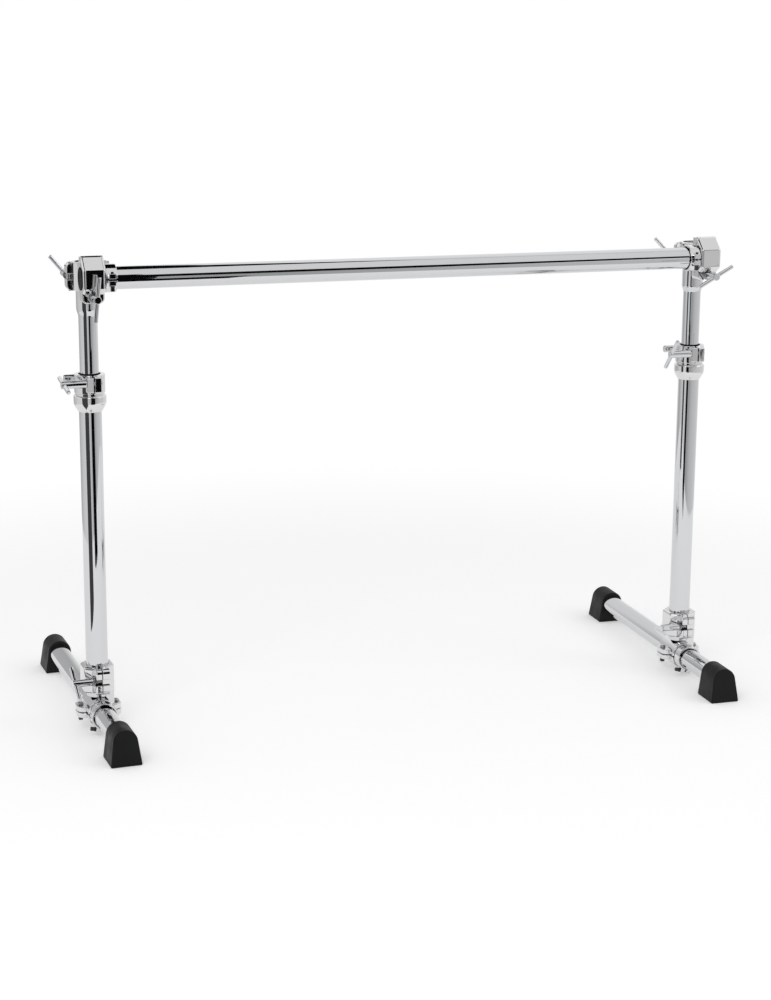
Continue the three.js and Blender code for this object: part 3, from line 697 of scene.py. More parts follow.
def zinc_steel():
    # Clear zinc plate over turned steel: a satin grey metal with a patchy passivated film
    return steel("Zinc plated steel", sizes("finish").zinc, 0.2)


def oxide_steel():
    # Turned steel blackened in hot salts and oiled: near black, with a soft sheen
    return steel("Black oxide steel", sizes("finish").oxide, 0.24)


def black_nylon():
    # Injection-moulded nylon: deep black with a fine sparked mould grain
    material, tree = new_material("Moulded black nylon")
    shader = add(
        tree, "ShaderNodeBsdfPrincipled",
        links={"Normal": bump(tree, noise(tree, 1.1 * MM, 2.0), 0.25, 0.15 * MM)},
        Base_Color=linear(sizes("finish").nylon), Roughness=0.6, Specular_IOR_Level=0.15,
    )
    return finish(material, shader)


def black_rubber():
    # Moulded rubber: satin black, dulled in clouds by bloom and floor dust
    material, tree = new_material("Moulded black rubber")
    cloud = noise(tree, 26 * MM, 6.0, 0.6)
    amount = spread(tree, cloud, 0.4, 0.75, 0.0, 0.8)
    tint = add(tree, "ShaderNodeMix", {"data_type": "RGBA"}, {"Factor": amount})
    # A colour mix takes its two colours at sockets 6 and 7 and gives its result at output 2
    tint.inputs[6].default_value = linear(sizes("finish").rubber)
    tint.inputs[7].default_value = linear(sizes("finish").rubber_dust)
    links = {
        "Base Color": tint.outputs[2],
        "Roughness": spread(tree, cloud, 0.35, 0.7, 0.42, 0.62),
        "Normal": bump(tree, noise(tree, 1.4 * MM, 3.0), 0.35, 0.2 * MM),
    }
    shader = add(tree, "ShaderNodeBsdfPrincipled", links=links, Specular_IOR_Level=0.2)
    return finish(material, shader)


MAKERS = {
    "chrome": chrome_tube,
    "cast_chrome": chrome_cast,
    "zinc_steel": zinc_steel,
    "oxide_steel": oxide_steel,
    "black_nylon": black_nylon,
    "black_rubber": black_rubber,
}
made = {}


def material_of(look):
    """The material of a look, which is made once."""
    if look not in made:
        made[look] = MAKERS[look]()
    return made[look]


# Clamp ends, in the frame where the tube lies along z and the jaw is on the +y side

def end_clip(end):
    """The outline of a clamp end seen along y, as a thick block: round at the hinge side."""
    c = sizes("clamp")
    span, reach, _ = ENDS[end]
    radii = (0.5 * MM, 0.5 * MM, c.hinge_corner, c.hinge_corner)
    across = (-reach - c.closure_corner, c.hinge + c.knuckle + 2 * MM)
    outline = oblong((-span / 2, span / 2), across, radii)
    block = prism(outline, -2 * c.jaw_depth, 2 * c.jaw_depth, 0.2 * MM)
    return placed(block, axes((0, 0, 1), (1, 0, 0)))


def lugs(end, low, high, edge):
    """The two lugs beside the stud's slot, extruded along y from low to high."""
    c = sizes("clamp")
    span, reach, _ = ENDS[end]
    radii = (*mm(1.2, 0.3, 0.3), c.closure_corner)
    outline = oblong((-reach, -c.bore - 1.2 * MM), (c.slot, span / 2), radii)
    upper = placed(prism(outline, -high, -low, edge, 6), from_front())
    return [upper, placed(upper, axes((1, 0, 0), (0, -1, 0), (0, low + high, 0)))]


def jaw_mesh(end):
    """The hinged half: a faceted shell over the tube, a knuckle and two lugs, with a seat
    for the washer sunk in its front. At both ends the shell's rings shrink towards the
    tube's axis as quarter rounds."""
    c, h = sizes("clamp"), sizes("handle")
    half, below = ENDS[end][0] / 2, -6 * MM
    # Corners round the section from below the parting plane: x, y and radius
    outline = rounded(
        (-25 * MM, below, 0.3 * MM), (39 * MM, below, 0.3 * MM), mm(36, 7, 1.8),
        (17 * MM, c.jaw_depth, 5 * MM), (-16 * MM, c.jaw_depth, 6 * MM), mm(-25, 15, 2.5),
    )
    insets, heights = round_ends(-half, half, c.jaw_end, 7)
    shell = stacked(outline * (1 - insets[:, None, None] / c.jaw_depth), heights)
    inside = half - c.ear - c.room
    hinge = Matrix.Translation((c.hinge, 0, 0))
    room = c.knuckle + c.room
    knuckle = placed(rod(c.knuckle, -inside, inside, 0.5 * MM), hinge)
    link = box((22 * MM, c.hinge), (c.gap, 7.4 * MM), (-inside, inside), 0.3 * MM, 0.3 * MM)
    seat = rod(h.washer + CLEAR, -2 * c.jaw_depth, -c.jaw_lug)
    cuts = [
        rod(c.bore, -BEYOND, BEYOND, 0, 96),
        box((-BEYOND, BEYOND), (-BEYOND, c.gap), (-BEYOND, BEYOND)),
        placed(seat, from_front() @ Matrix.Translation((-c.bolt, 0, 0))),
        placed(rod(room, inside, BEYOND), hinge),
        placed(rod(room, -BEYOND, -inside), hinge),
    ]
    return fused(
        [shell, *lugs(end, below, c.jaw_lug, c.lug_edge)],
        "DIFFERENCE", cuts,
        "UNION", [knuckle, link],
        "DIFFERENCE", [placed(rod(c.pin + CLEAR, -half, half), hinge)],
        "INTERSECT", [end_clip(end)],
    )


def body_shells(end, fixed_stud):
    """The fixed half, at its place in the leg: a shell behind the tube, two ears with the
    hinge pin, two lugs, and a block under a stud that is fixed."""
    c = sizes("clamp")
    span, reach, back = ENDS[end]
    half = span / 2
    hinge = Matrix.Translation((c.hinge, 0, 0))
    # Corners round the back of the section: x, y and radius, then the two seats
    outline = rounded(
        mm(-25, -15, 3), (-16 * MM, -back, 3 * MM), (16 * MM, -back, 3 * MM),
        mm(25.5, -12, 3), mm(34, -12, 3),
        arc((c.hinge, 0), c.knuckle + c.room, -70, -174, 13),
        arc((0, 0), c.bore, -2, -178, 49),
        (-25 * MM, -c.gap, 0.6 * MM),
    )
    shells = [prism(outline, -half, half, c.edge)]
    for way in (-1, 1):
        z = sorted((way * (half - c.ear), way * half))
        ear = rod(c.knuckle, *z, (0.5 * MM, c.ear_end)[::way], 48, 6)
        shells.append(placed(ear, hinge))
        shells.append(box(mm(22.5, 36), (-11.9 * MM, -c.gap), z, 1 * MM, 0.6 * MM))
    pin = rod(c.pin, -half - 0.6 * MM, half + 0.6 * MM, 0.5 * MM, 32)
    shells += [placed(pin, hinge), *lugs(end, -c.body_lug, -c.gap, c.edge)]
    if fixed_stud:
        x = (c.closure_corner / 2 - reach, -c.bore - 1.3 * MM)
        y = (0.4 * MM - c.body_lug, -c.gap - CLEAR)
        shells.append(box(x, y, mm(-8, 8), 0.8 * MM, 0.5 * MM))
    return [placed(shell, own_frame(end)) for shell in shells]


def on_stud(shell):
    """A shell about z, moved to the stud through the closure, which runs along y."""
    return placed(shell, axes((1, 0, 0), (0, 0, -1), (-sizes("clamp").bolt, 0, 0)))


def stud_mesh():
    """The threaded stud of a closure."""
    h = sizes("handle")
    return mesh_of([on_stud(thread(h.stud, h.pitch, -sizes("clamp").gap, h.stud_end))])


def eye_bolt_mesh():
    """An eye round its pin, between the body's lugs, with the threaded stud."""
    c, h = sizes("clamp"), sizes("handle")
    room, pin_end, shank_end = c.slot - CLEAR, ENDS["upright"][0] / 2 + 0.4 * MM, 4 * MM
    centre = Matrix.Translation((-c.bolt, -h.eye_depth, 0))
    return fused(
        [
            placed(rod(h.eye, -room, room, 0.8 * MM), centre),
            placed(rod(h.eye_pin, -pin_end, pin_end, 0.4 * MM, 32), centre),
            on_stud(rod(h.stud, -h.eye_depth, shank_end, 0.2 * MM)),
            on_stud(thread(h.stud, h.pitch, shank_end - h.pitch, h.stud_end)),
        ]
    )


def handle_mesh(start, hub_end, depth, turn, bore_end=None):
    """A T-handle about z: a hub with a round shoulder, and a crossbar with domed ends, which
    is turned about the hub from the x axis. bore_end is how far the nut's bore goes."""
    h = sizes("handle")
    hub = rod(h.hub, start, hub_end, 1.4 * MM, 64)
    bar = rod(h.bar, -h.bar_half, h.bar_half, 1.6 * MM, 48, 6)
    angle = math.radians(turn)
    across = (-math.sin(angle), math.cos(angle), 0)
    bar = placed(bar, axes(across, (0, 0, 1), (0, 0, depth)))
    bore = [rod(h.stud + CLEAR, start - 1 * MM, bore_end, 0, 32)] if bore_end else []
    return fused([hub, bar], "DIFFERENCE", bore)


# Operators

class RackOperator:
    bl_options = {"REGISTER", "UNDO"}


class RACK_OT_tubes(RackOperator, bpy.types.Operator):
    """Draw the bar, the uprights and the floor tubes"""

    bl_idname = "rack.tubes"
    bl_label = "Tubes"

    def tube(self, low, high):
        """A plain large tube about z with round cut edges."""
        t = sizes("tubes")
        soft = 0.3 * t.edge
        inset, rise = np.array([(t.wall, 0), (t.edge, 0), (soft, soft), (0, t.edge)]).T
        radius = t.radius - np.r_[inset, inset[::-1]]
        height = np.r_[low + rise, high - rise[::-1]]
        return mesh_of([turned(np.stack([radius, height], -1), 96, True)])

    def upper(self, low, high):
        """The upper tube: plain below, widened by a smooth cosine step under its closed top."""
        t = sizes("tubes")
        share = np.linspace(0, 1, 13)
        radius = t.inner_radius + (t.radius - t.inner_radius) * (1 - np.cos(np.pi * share)) / 2
        step = np.stack([radius, high - t.swage_length + t.swage_taper * (share - 1)], -1)
        bore, soft = t.inner_radius - t.inner_wall, 1.5 * MM
        profile = [
            (0.2 * bore, high - 2 * soft), (bore, high - 2 * soft), (bore, low),
            (t.inner_radius - t.edge, low), (t.inner_radius, low + t.edge), *step,
            (t.radius, high - soft), (t.radius - 0.3 * soft, high - 0.3 * soft),
            (t.radius - soft, high), (0.2 * bore, high),
        ]
        return mesh_of([turned(profile, 96)])

    def execute(self, context):
        f = sizes("foot")
        low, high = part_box("bar_tube")
        put("bar_tube", self.tube(low.x, high.x), along_bar(0), "chrome")
        low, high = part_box("left_upper_tube")
        pair("upper_tube", self.upper(low.z, high.z), "chrome")
        low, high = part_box("left_lower_tube")
        pair("lower_tube", self.tube(low.z, high.z), "chrome")
        clear = f.lean + f.wall + CLEAR
        to_back = axes((-1, 0, 0), (0, 0, 1), (0, 0, sizes("base").tube_height))
        pair("floor_tube", self.tube(clear - f.front, f.back - clear), "chrome", within(to_back))
        return {"FINISHED"}


class RACK_OT_caps(RackOperator, bpy.types.Operator):
    """Draw the plastic caps in the bar's ends"""

    bl_idname = "rack.caps"
    bl_label = "Bar caps"

    def execute(self, context):
        t = sizes("tubes")
        plug, soft, top = t.radius - t.wall - CLEAR, 1.0 * MM, t.rim + CLEAR
        profile = [
            (plug - soft, -t.plug), (plug, soft - t.plug), (plug, CLEAR), (t.radius, CLEAR),
            *arc((t.radius - soft, top - soft), soft, 0, 90, 7),
            (t.radius - 4 * MM, top), (t.radius - 5.5 * MM, t.rim - 0.2 * MM),
        ]
        mesh = mesh_of([turned(profile, 96)])
        low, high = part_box("bar_tube")
        put("bar_cap_right", mesh, along_bar(high.x), "black_nylon")
        put("bar_cap_left", mesh, along_bar(low.x, -1), "black_nylon")
        return {"FINISHED"}


class RACK_OT_clamps(RackOperator, bpy.types.Operator):
    """Draw the right-angle clamps that join the legs to the bar"""

    bl_idname = "rack.clamps"
    bl_label = "Top clamps"

    def execute(self, context):
        c = sizes("clamp")
        half = ENDS["upright"][0] / 2 - 1 * MM
        web = box(
            (-c.web, c.web), (BAR_REACH + c.bore + CLEAR, -c.bore - CLEAR),
            (BAR_HEIGHT - half, BAR_HEIGHT + half), 0.5 * MM, 1 * MM,
        )
        shells = [*body_shells("bar", True), *body_shells("upright", False), web]
        bore = rod(c.bore, -BEYOND, BEYOND, 0, 96)
        bores = [placed(bore, own_frame(end)) for end in ("bar", "upright")]
        pair("top_clamp", fused(shells, "DIFFERENCE", bores), "cast_chrome", unit_frame)
        pair("top_clamp", stud_mesh(), "zinc_steel", at_end("bar"), "stud")
        pair("upright_eye_bolt", eye_bolt_mesh(), "zinc_steel", at_end("upright"))
        return {"FINISHED"}


class RACK_OT_jaws(RackOperator, bpy.types.Operator):
    """Draw the hinged jaws of all the clamps"""

    bl_idname = "rack.jaws"
    bl_label = "Jaws"

    def execute(self, context):
        for end in ENDS:
            pair(f"{end}_jaw", jaw_mesh(end), "cast_chrome", at_end(end))
        return {"FINISHED"}


class RACK_OT_nuts(RackOperator, bpy.types.Operator):
    """Draw the T-handled nuts and their washers"""

    bl_idname = "rack.nuts"
    bl_label = "T-handled nuts"

    def execute(self, context):
        c, h = sizes("clamp"), sizes("handle")
        low = c.jaw_lug + CLEAR
        start = c.jaw_lug + h.washer_wall + 2 * CLEAR
        ring = flat_ring(h.washer, h.stud + CLEAR, low, low + h.washer_wall)
        washer = mesh_of([on_stud(ring)])
        along_stud = axes((0, 0, 1), (1, 0, 0), (-c.bolt, 0, 0))
        for end in ENDS:
            place = at_end(end)
            pair(f"{end}_washer", washer, "zinc_steel", place)
            for side in SIDES:
                turn = HANDLE_TURNS[side][end]
                nut = handle_mesh(start, h.hub_end, h.bar_depth, turn, h.stud_end + CLEAR)
                put(f"{side}_{end}_wing_nut", nut, place(side) @ along_stud, "chrome")
        return {"FINISHED"}


class RACK_OT_heights(RackOperator, bpy.types.Operator):
    """Draw the height clamps, their bushes and their bolts"""

    bl_idname = "rack.heights"
    bl_label = "Height clamps"

    def clamp(self, bolt_height):
        """A flared cup, a neck and a split band about z, with a pair of lugs in front and a
        solid lug behind. The cup's radius rises as a power of a sine over its flare."""
        g, c, t = sizes("height"), sizes("clamp"), sizes("tubes")
        bore, rim = t.radius - t.wall, c.bore + g.rim
        top = g.bottom + g.cup_length
        low, seat = top + g.neck_length, top - 1.9 * MM
        share = np.linspace(0, 1, 15)
        radius = rim + (g.cup - rim) * np.sin(np.pi / 2 * share) ** 1.12
        cup = [
            (c.bore, g.bottom), *np.stack([radius, g.bottom + g.flare * share], -1),
            *arc((g.neck, top - g.cup + g.neck), g.cup - g.neck, 0, 90, 7),
            (g.neck, low + 1 * MM), (bore, low + 1 * MM), (bore, seat), (c.bore, seat),
        ]
        band = split_ring((0, 0), g.band, bore, -90, 270, g.slit / 2, (121, 97))
        shells = [turned(cup, 96, True), prism(band, low, low + g.band_length, 1.6 * MM, 5)]
        middle, half = bolt_height - 2.5 * MM, g.lug_height / 2
        z = (middle - half, middle + half)
        sideways = axes((0, 0, 1), (0, 1, 0))
        front = oblong(z, (-g.lug_reach, -bore - 3 * MM), mm(2, 2, 0.4, 0.4))
        for x in ((g.slit / 2, g.lug_half), (-g.lug_half, -g.slit / 2)):
            lug, faces = placed(prism(front, *x, 0.9 * MM), sideways)
            lug = lug + math.tan(g.lug_turn) * np.maximum(-lug[:, :1], 0) * (0, 1, 0)
            shells.append((lug, faces))
        rear = oblong(z, (bore + 3 * MM, g.rear_reach), mm(0.4, 0.4, 3, 3))
        rear = prism(rear, -g.rear_half, g.rear_half, 0.9 * MM)
        return [*shells, placed(rear, sideways)]

    def execute(self, context):
        g, h, t = sizes("height"), sizes("handle"), sizes("tubes")
        x, y, z = JOINTS["left_height_bolt_turn"]["pos_m"]
        reach = math.hypot(x - LEFT_UPRIGHT[0], y - LEFT_UPRIGHT[1])
        front, rear = (axes((0, 1, 0), (0, 0, 1), (0, y, z)) for y in (-reach, reach))
        hole = rod(h.stud + CLEAR, -BEYOND, BEYOND, 0, 32)
        holes = [placed(hole, front), placed(hole, rear)]
        pair("height_clamp", fused(self.clamp(z), "DIFFERENCE", holes), "cast_chrome")
        top = g.bottom + g.cup_length + g.neck_length + g.band_length + g.proud
        outer, inner = t.radius - t.wall - CLEAR, t.inner_radius + CLEAR
        bush = mesh_of([flat_ring(outer, inner, top - g.bush, top, 0.4 * MM)])
        pair("height_bush", bush, "black_nylon")
        seat = g.rear_half + CLEAR
        shells = [
            rod(h.hub, -seat - g.head, -seat, 1.2 * MM, 64),
            rod(h.stud, -seat - 1 * MM, seat + 5 * MM, 0.5 * MM, 32),
            hexagon(h.hub, seat, seat + 6 * MM),
        ]
        pair("height_rear_bolt", fused([placed(shell, rear) for shell in shells]), "chrome")
        start = g.lug_half + CLEAR
        place = within(axes((0, 0, 1), (0, 1, 0), (0, -reach, z)))
        for side in SIDES:
            handle = handle_mesh(start, g.hub_end, g.bar_depth, HANDLE_TURNS[side]["height"])
            put(f"{side}_height_wing_bolt", handle, place(side), "chrome")
        shank = mesh_of([rod(h.stud, -g.lug_half - 2 * MM, start + 1 * MM, 0.6 * MM, 32)])
        pair("height_wing_bolt", shank, "zinc_steel", place, "shank")
        return {"FINISHED"}


class RACK_OT_bases(RackOperator, bpy.types.Operator):
    """Draw the base clamps, their caps and their bolts"""

    bl_idname = "rack.bases"
    bl_label = "Base clamps"

    def flanges(self, low, high):
        """The bolted flanges on both sides of a saddle or cap."""
        b, c = sizes("base"), sizes("clamp")
        half, corner, fine = b.flange_length / 2, b.flange_corner, 0.4 * MM
        across = (c.bore + 1.5 * MM, b.flange / 2)
        right = oblong(across, (-half, half), (fine, corner, corner, fine))
        return [prism(outline, low, high, 1.2 * MM) for outline in (right, -right)]

    def sleeve(self, radius, start):
        """Half of a sleeve about the floor tube, from 0 degrees for the upper half and 180
        for the lower, its section carried along y."""
        b, c = sizes("base"), sizes("clamp")
        centre = (0, b.tube_height)
        section = split_ring(centre, radius, c.bore, start, start + 180, c.gap, (61, 49))
        return placed(prism(section, -b.length / 2, b.length / 2, 2.2 * MM, 6), from_front())

    def bolt(self):
        """A square-headed bolt from below, and the domed nut on the flange, as two meshes."""
        b = sizes("base")
        reach = b.flange_wall + 0.9 * MM
        low, high = b.tube_height - reach, b.tube_height + reach
        soft, rim, turn = 0.3 * MM, high + 1.8 * MM, np.radians(np.linspace(0, 80, 9))
        dome = np.stack([(b.nut - soft) * np.cos(turn), rim + b.dome * np.sin(turn)], -1)
        nut = turned([(b.nut, high), (b.nut, rim - 0.2 * MM), *dome], 48)
        width = (-b.head / 2, b.head / 2)
        head = box(width, width, (low - b.head_length, low), 0.6 * MM, 0.8 * MM)
        shank = rod(b.shank, low - 1 * MM, high + 1 * MM, 0, 32)
        return mesh_of([head, shank]), mesh_of([nut])

    def execute(self, context):
        b, c = sizes("base"), sizes("clamp")
        z = b.tube_height
        span, _, back = ENDS["base"]
        root = box(
            (back - b.root, back), (-b.root_half, b.root_half),
            (z + c.gap, SOCKET_HEIGHT - span / 2 + c.ear), 3 * MM, 0.5 * MM,
        )
        shells = [
            *body_shells("base", True), self.sleeve(b.floor - z, 0), root,
            *self.flanges(z + c.gap, z + c.gap + b.flange_wall),
        ]
        bores = [
            rod(c.bore, b.floor, SOCKET_HEIGHT + BEYOND, 0, 96),
            placed(rod(c.bore, -b.length, b.length, 0, 96), from_front(z)),
        ]
        lower = [self.sleeve(b.cap_depth, 180), *self.flanges(z - c.gap - b.flange_wall, z - c.gap)]
        pair("base_clamp", fused(shells, "DIFFERENCE", bores), "cast_chrome")
        pair("base_clamp", stud_mesh(), "zinc_steel", at_end("base"), "stud")
        pair("base_cap", fused(lower), "cast_chrome")
        bolt, nut = self.bolt()
        for name, x in (("left", -b.bolt), ("right", b.bolt)):
            place = within(Matrix.Translation((x, 0, 0)))
            pair(f"base_bolt_{name}", bolt, "oxide_steel", place, slot="zinc_steel")
            pair(f"base_bolt_{name}", nut, "zinc_steel", place, "nut")
        return {"FINISHED"}


class RACK_OT_locks(RackOperator, bpy.types.Operator):
    """Draw the memory locks and their screws"""

    bl_idname = "rack.locks"
    bl_label = "Memory locks"

    def on_screw(self, shell):
        """A shell about z, moved to the screw's axis, which runs along y."""
        return placed(shell, axes((1, 0, 0), (0, 0, -1), (-sizes("lock").screw_reach, 0, 0)))

    def ring(self):
        """A split ring about z with two lugs on its -x side."""
        k, c = sizes("lock"), sizes("clamp")
        low, high, half = k.gap / 2, k.lug_height / 2, k.lug_width / 2
        section = split_ring((0, 0), k.radius, c.bore, -180, 180, low, (97, 81))
        shells = [prism(section, -k.width / 2, k.width / 2, 1.4 * MM, 5)]
        for y in ((low, high), (-high, -low)):
            lug = oblong((-k.lug, -c.bore - 1 * MM), y, mm(1, 0.3, 0.3, 1))
            shells.append(prism(lug, -half, half, 1 * MM))
        hole = rod(k.screw + CLEAR, -k.lug_height, k.lug_height, 0, 32)
        return fused(shells, "DIFFERENCE", [self.on_screw(hole)])

    def screw(self):
        """A square-headed key screw along y with a collar under its head."""
        k = sizes("lock")
        seat, width = -k.lug_height / 2 - CLEAR, (-k.head / 2, k.head / 2)
        shells = [
            box(width, width, (seat - k.head_length, seat), 0.5 * MM, 0.7 * MM),
            rod(k.collar, seat - k.collar_wall, seat, 0.4 * MM, 40),
            thread(k.screw, k.pitch, seat - 1 * MM, k.lug_height / 2 + 3 * MM),
        ]
        return mesh_of([self.on_screw(shell) for shell in shells])

    def on_bar(self, side):
        """z along the bar, with the lugs on the -x side."""
        low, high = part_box(f"{side}_bar_lock")
        return along_bar((low.x + high.x) / 2)

    def execute(self, context):
        b, k = sizes("base"), sizes("lock")
        y = -b.length / 2 - 2 * MM - k.width / 2
        tilt = math.radians(12)
        across = (math.sin(tilt), 0, math.cos(tilt)), (math.cos(tilt), 0, -math.sin(tilt))
        on_floor_tube = within(axes(*across, (0, y, b.tube_height)))
        ring, screw = self.ring(), self.screw()
        for name, place in (("bar_lock", self.on_bar), ("floor_lock", on_floor_tube)):
            pair(name, ring, "cast_chrome", place)
            pair(f"{name}_screw", screw, "oxide_steel", place, slot="zinc_steel")
        return {"FINISHED"}


class RACK_OT_feet(RackOperator, bpy.types.Operator):
    """Draw the rubber feet"""

    bl_idname = "rack.feet"
    bl_label = "Rubber feet"

    def foot(self):
        """A boot on the tube's end, its section carried along y from the closed end at 0:
        sides that lean in to touch a round top, and grooves across the sole. The closed end
        leans back, y = lean z / height there and fading to none at the mouth."""
        f, c = sizes("foot"), sizes("clamp")
        half, radius = f.width / 2, c.bore + f.side_wall
        middle = f.height - radius
        touch = math.acos(radius / math.hypot(half, middle)) - math.atan2(middle, half)
        touch = math.degrees(touch)
        section = rounded(
            (-half, 0, 2.4 * MM), (half, 0, 2.4 * MM),
            arc((0, middle), radius, touch, 180 - touch, 61),
        )
        points, faces = placed(prism(section, -f.length, 0, f.edge, 6), from_front())
        share = points[:, 2] / f.height * (1 - points[:, 1] / f.length)
        points = points + f.lean * share[:, None] * (0, 1, 0)
        bore = rod(c.bore, -f.length - BEYOND, -f.lean - f.wall, 0, 96)
        width, pitch = half + 5 * MM, f.length / 6
        grooves = [
            box(
                (-width, width), (pitch * (i - 0.2), pitch * (i + 0.2)),
                (-3 * MM, f.rib_depth), 0.3 * MM, 0.4 * MM,
            )
            for i in range(1, 6)
        ]
        bore = placed(bore, from_front(sizes("base").tube_height))
        return fused([(points, faces)], "DIFFERENCE", [bore, *grooves])

    def execute(self, context):
        f = sizes("foot")
        mesh = self.foot()
        back = Matrix.Translation((0, f.back, 0)) @ Matrix.Rotation(math.pi, 4, "Z")
        pair("front_foot", mesh, "black_rubber", within(Matrix.Translation((0, -f.front, 0))))
        pair("back_foot", mesh, "black_rubber", within(back))
        return {"FINISHED"}


# The studio wall's tone: a share of the way round from behind, and a share of white
WALL_SHARES = (
    (0.0, 0.85), (0.04, 0.5), (0.12, 0.55), (0.23, 0.8), (0.3, 0.85), (0.38, 0.78),
    (0.45, 0.5), (0.51, 0.42), (0.6, 0.65), (0.8, 0.85), (1.0, 0.85),
)

# The floor's radius, the distances between which it turns to white, and its share of glow
FLOOR_RADIUS, FADE_START, FADE_END, FLOOR_GLOW_SHARE = 9.0, 0.9, 2.0, 0.2

# Where the two soft lamps stand, and their width and height; both aim at the rack's middle
LAMPS = {
    "key": ((-1.8, -2.6, 2.7), (2.2, 1.4)),
    "fill": ((2.6, -1.6, 1.9), (1.4, 1.4)),
}
RACK_MIDDLE = (0, 0, 0.4)

# Half the studio wall's width and depth, its height, and how far the dark band is inside it
WALL_WIDTH, WALL_DEPTH, WALL_HEIGHT, BAND_INSET = 1.9, 1.6, 0.9, 0.02

# The lower and upper edge of the dark band: heights at two places along x
BAND_LOW = ((0.5, 1.3), (0.9, 1.04))
BAND_HIGH = ((0.3, 1.3), (1.5, 1.36))

# Each paper's share of white
PAPER_SHARES = {"black flag cloth": 0.003, "dark stand": 0.06, "ceiling light": 0.88}

# The flat cards: the paper of each and its corners
CARDS = {
    "front_flag": (
        "black flag cloth", (-0.62, -1.2, 0), (0, -1.2, 0), (0, -1.2, 0.48),
        (-0.22, -1.2, 0.48), (-0.22, -1.2, 1.5), (-0.62, -1.2, 1.5),
    ),
    "lug_flag": (
        "black flag cloth", (1.055, -1.3, 0.39), (1.1, -1.3, 0.39), (1.1, -1.3, 0.45),
        (1.055, -1.3, 0.45),
    ),
    "stand": (
        "dark stand", (-0.74, -0.18, 0.12), (-0.8, -0.61, 0.08), (-0.8, -0.61, 1.2),
        (-0.74, -0.18, 1.2),
    ),
    "ceiling": ("ceiling light", (-4, -4.5, 2.6), (4, -4.5, 2.6), (4, 0.4, 2.6), (-4, 0.4, 2.6)),
    "ceiling_flag": (
        "black flag cloth", (-2.2, -0.13, 2.3), (0.5, -0.13, 2.3), (1.3, -0.12, 2.3),
        (1.3, -0.1, 2.3), (0.55, -0.08, 2.3), (0.27, 0.27, 2.3), (0.05, 0.74, 2.3),
        (0.1, 2.3, 2.3), (-2.2, 2.3, 2.3),
    ),
}


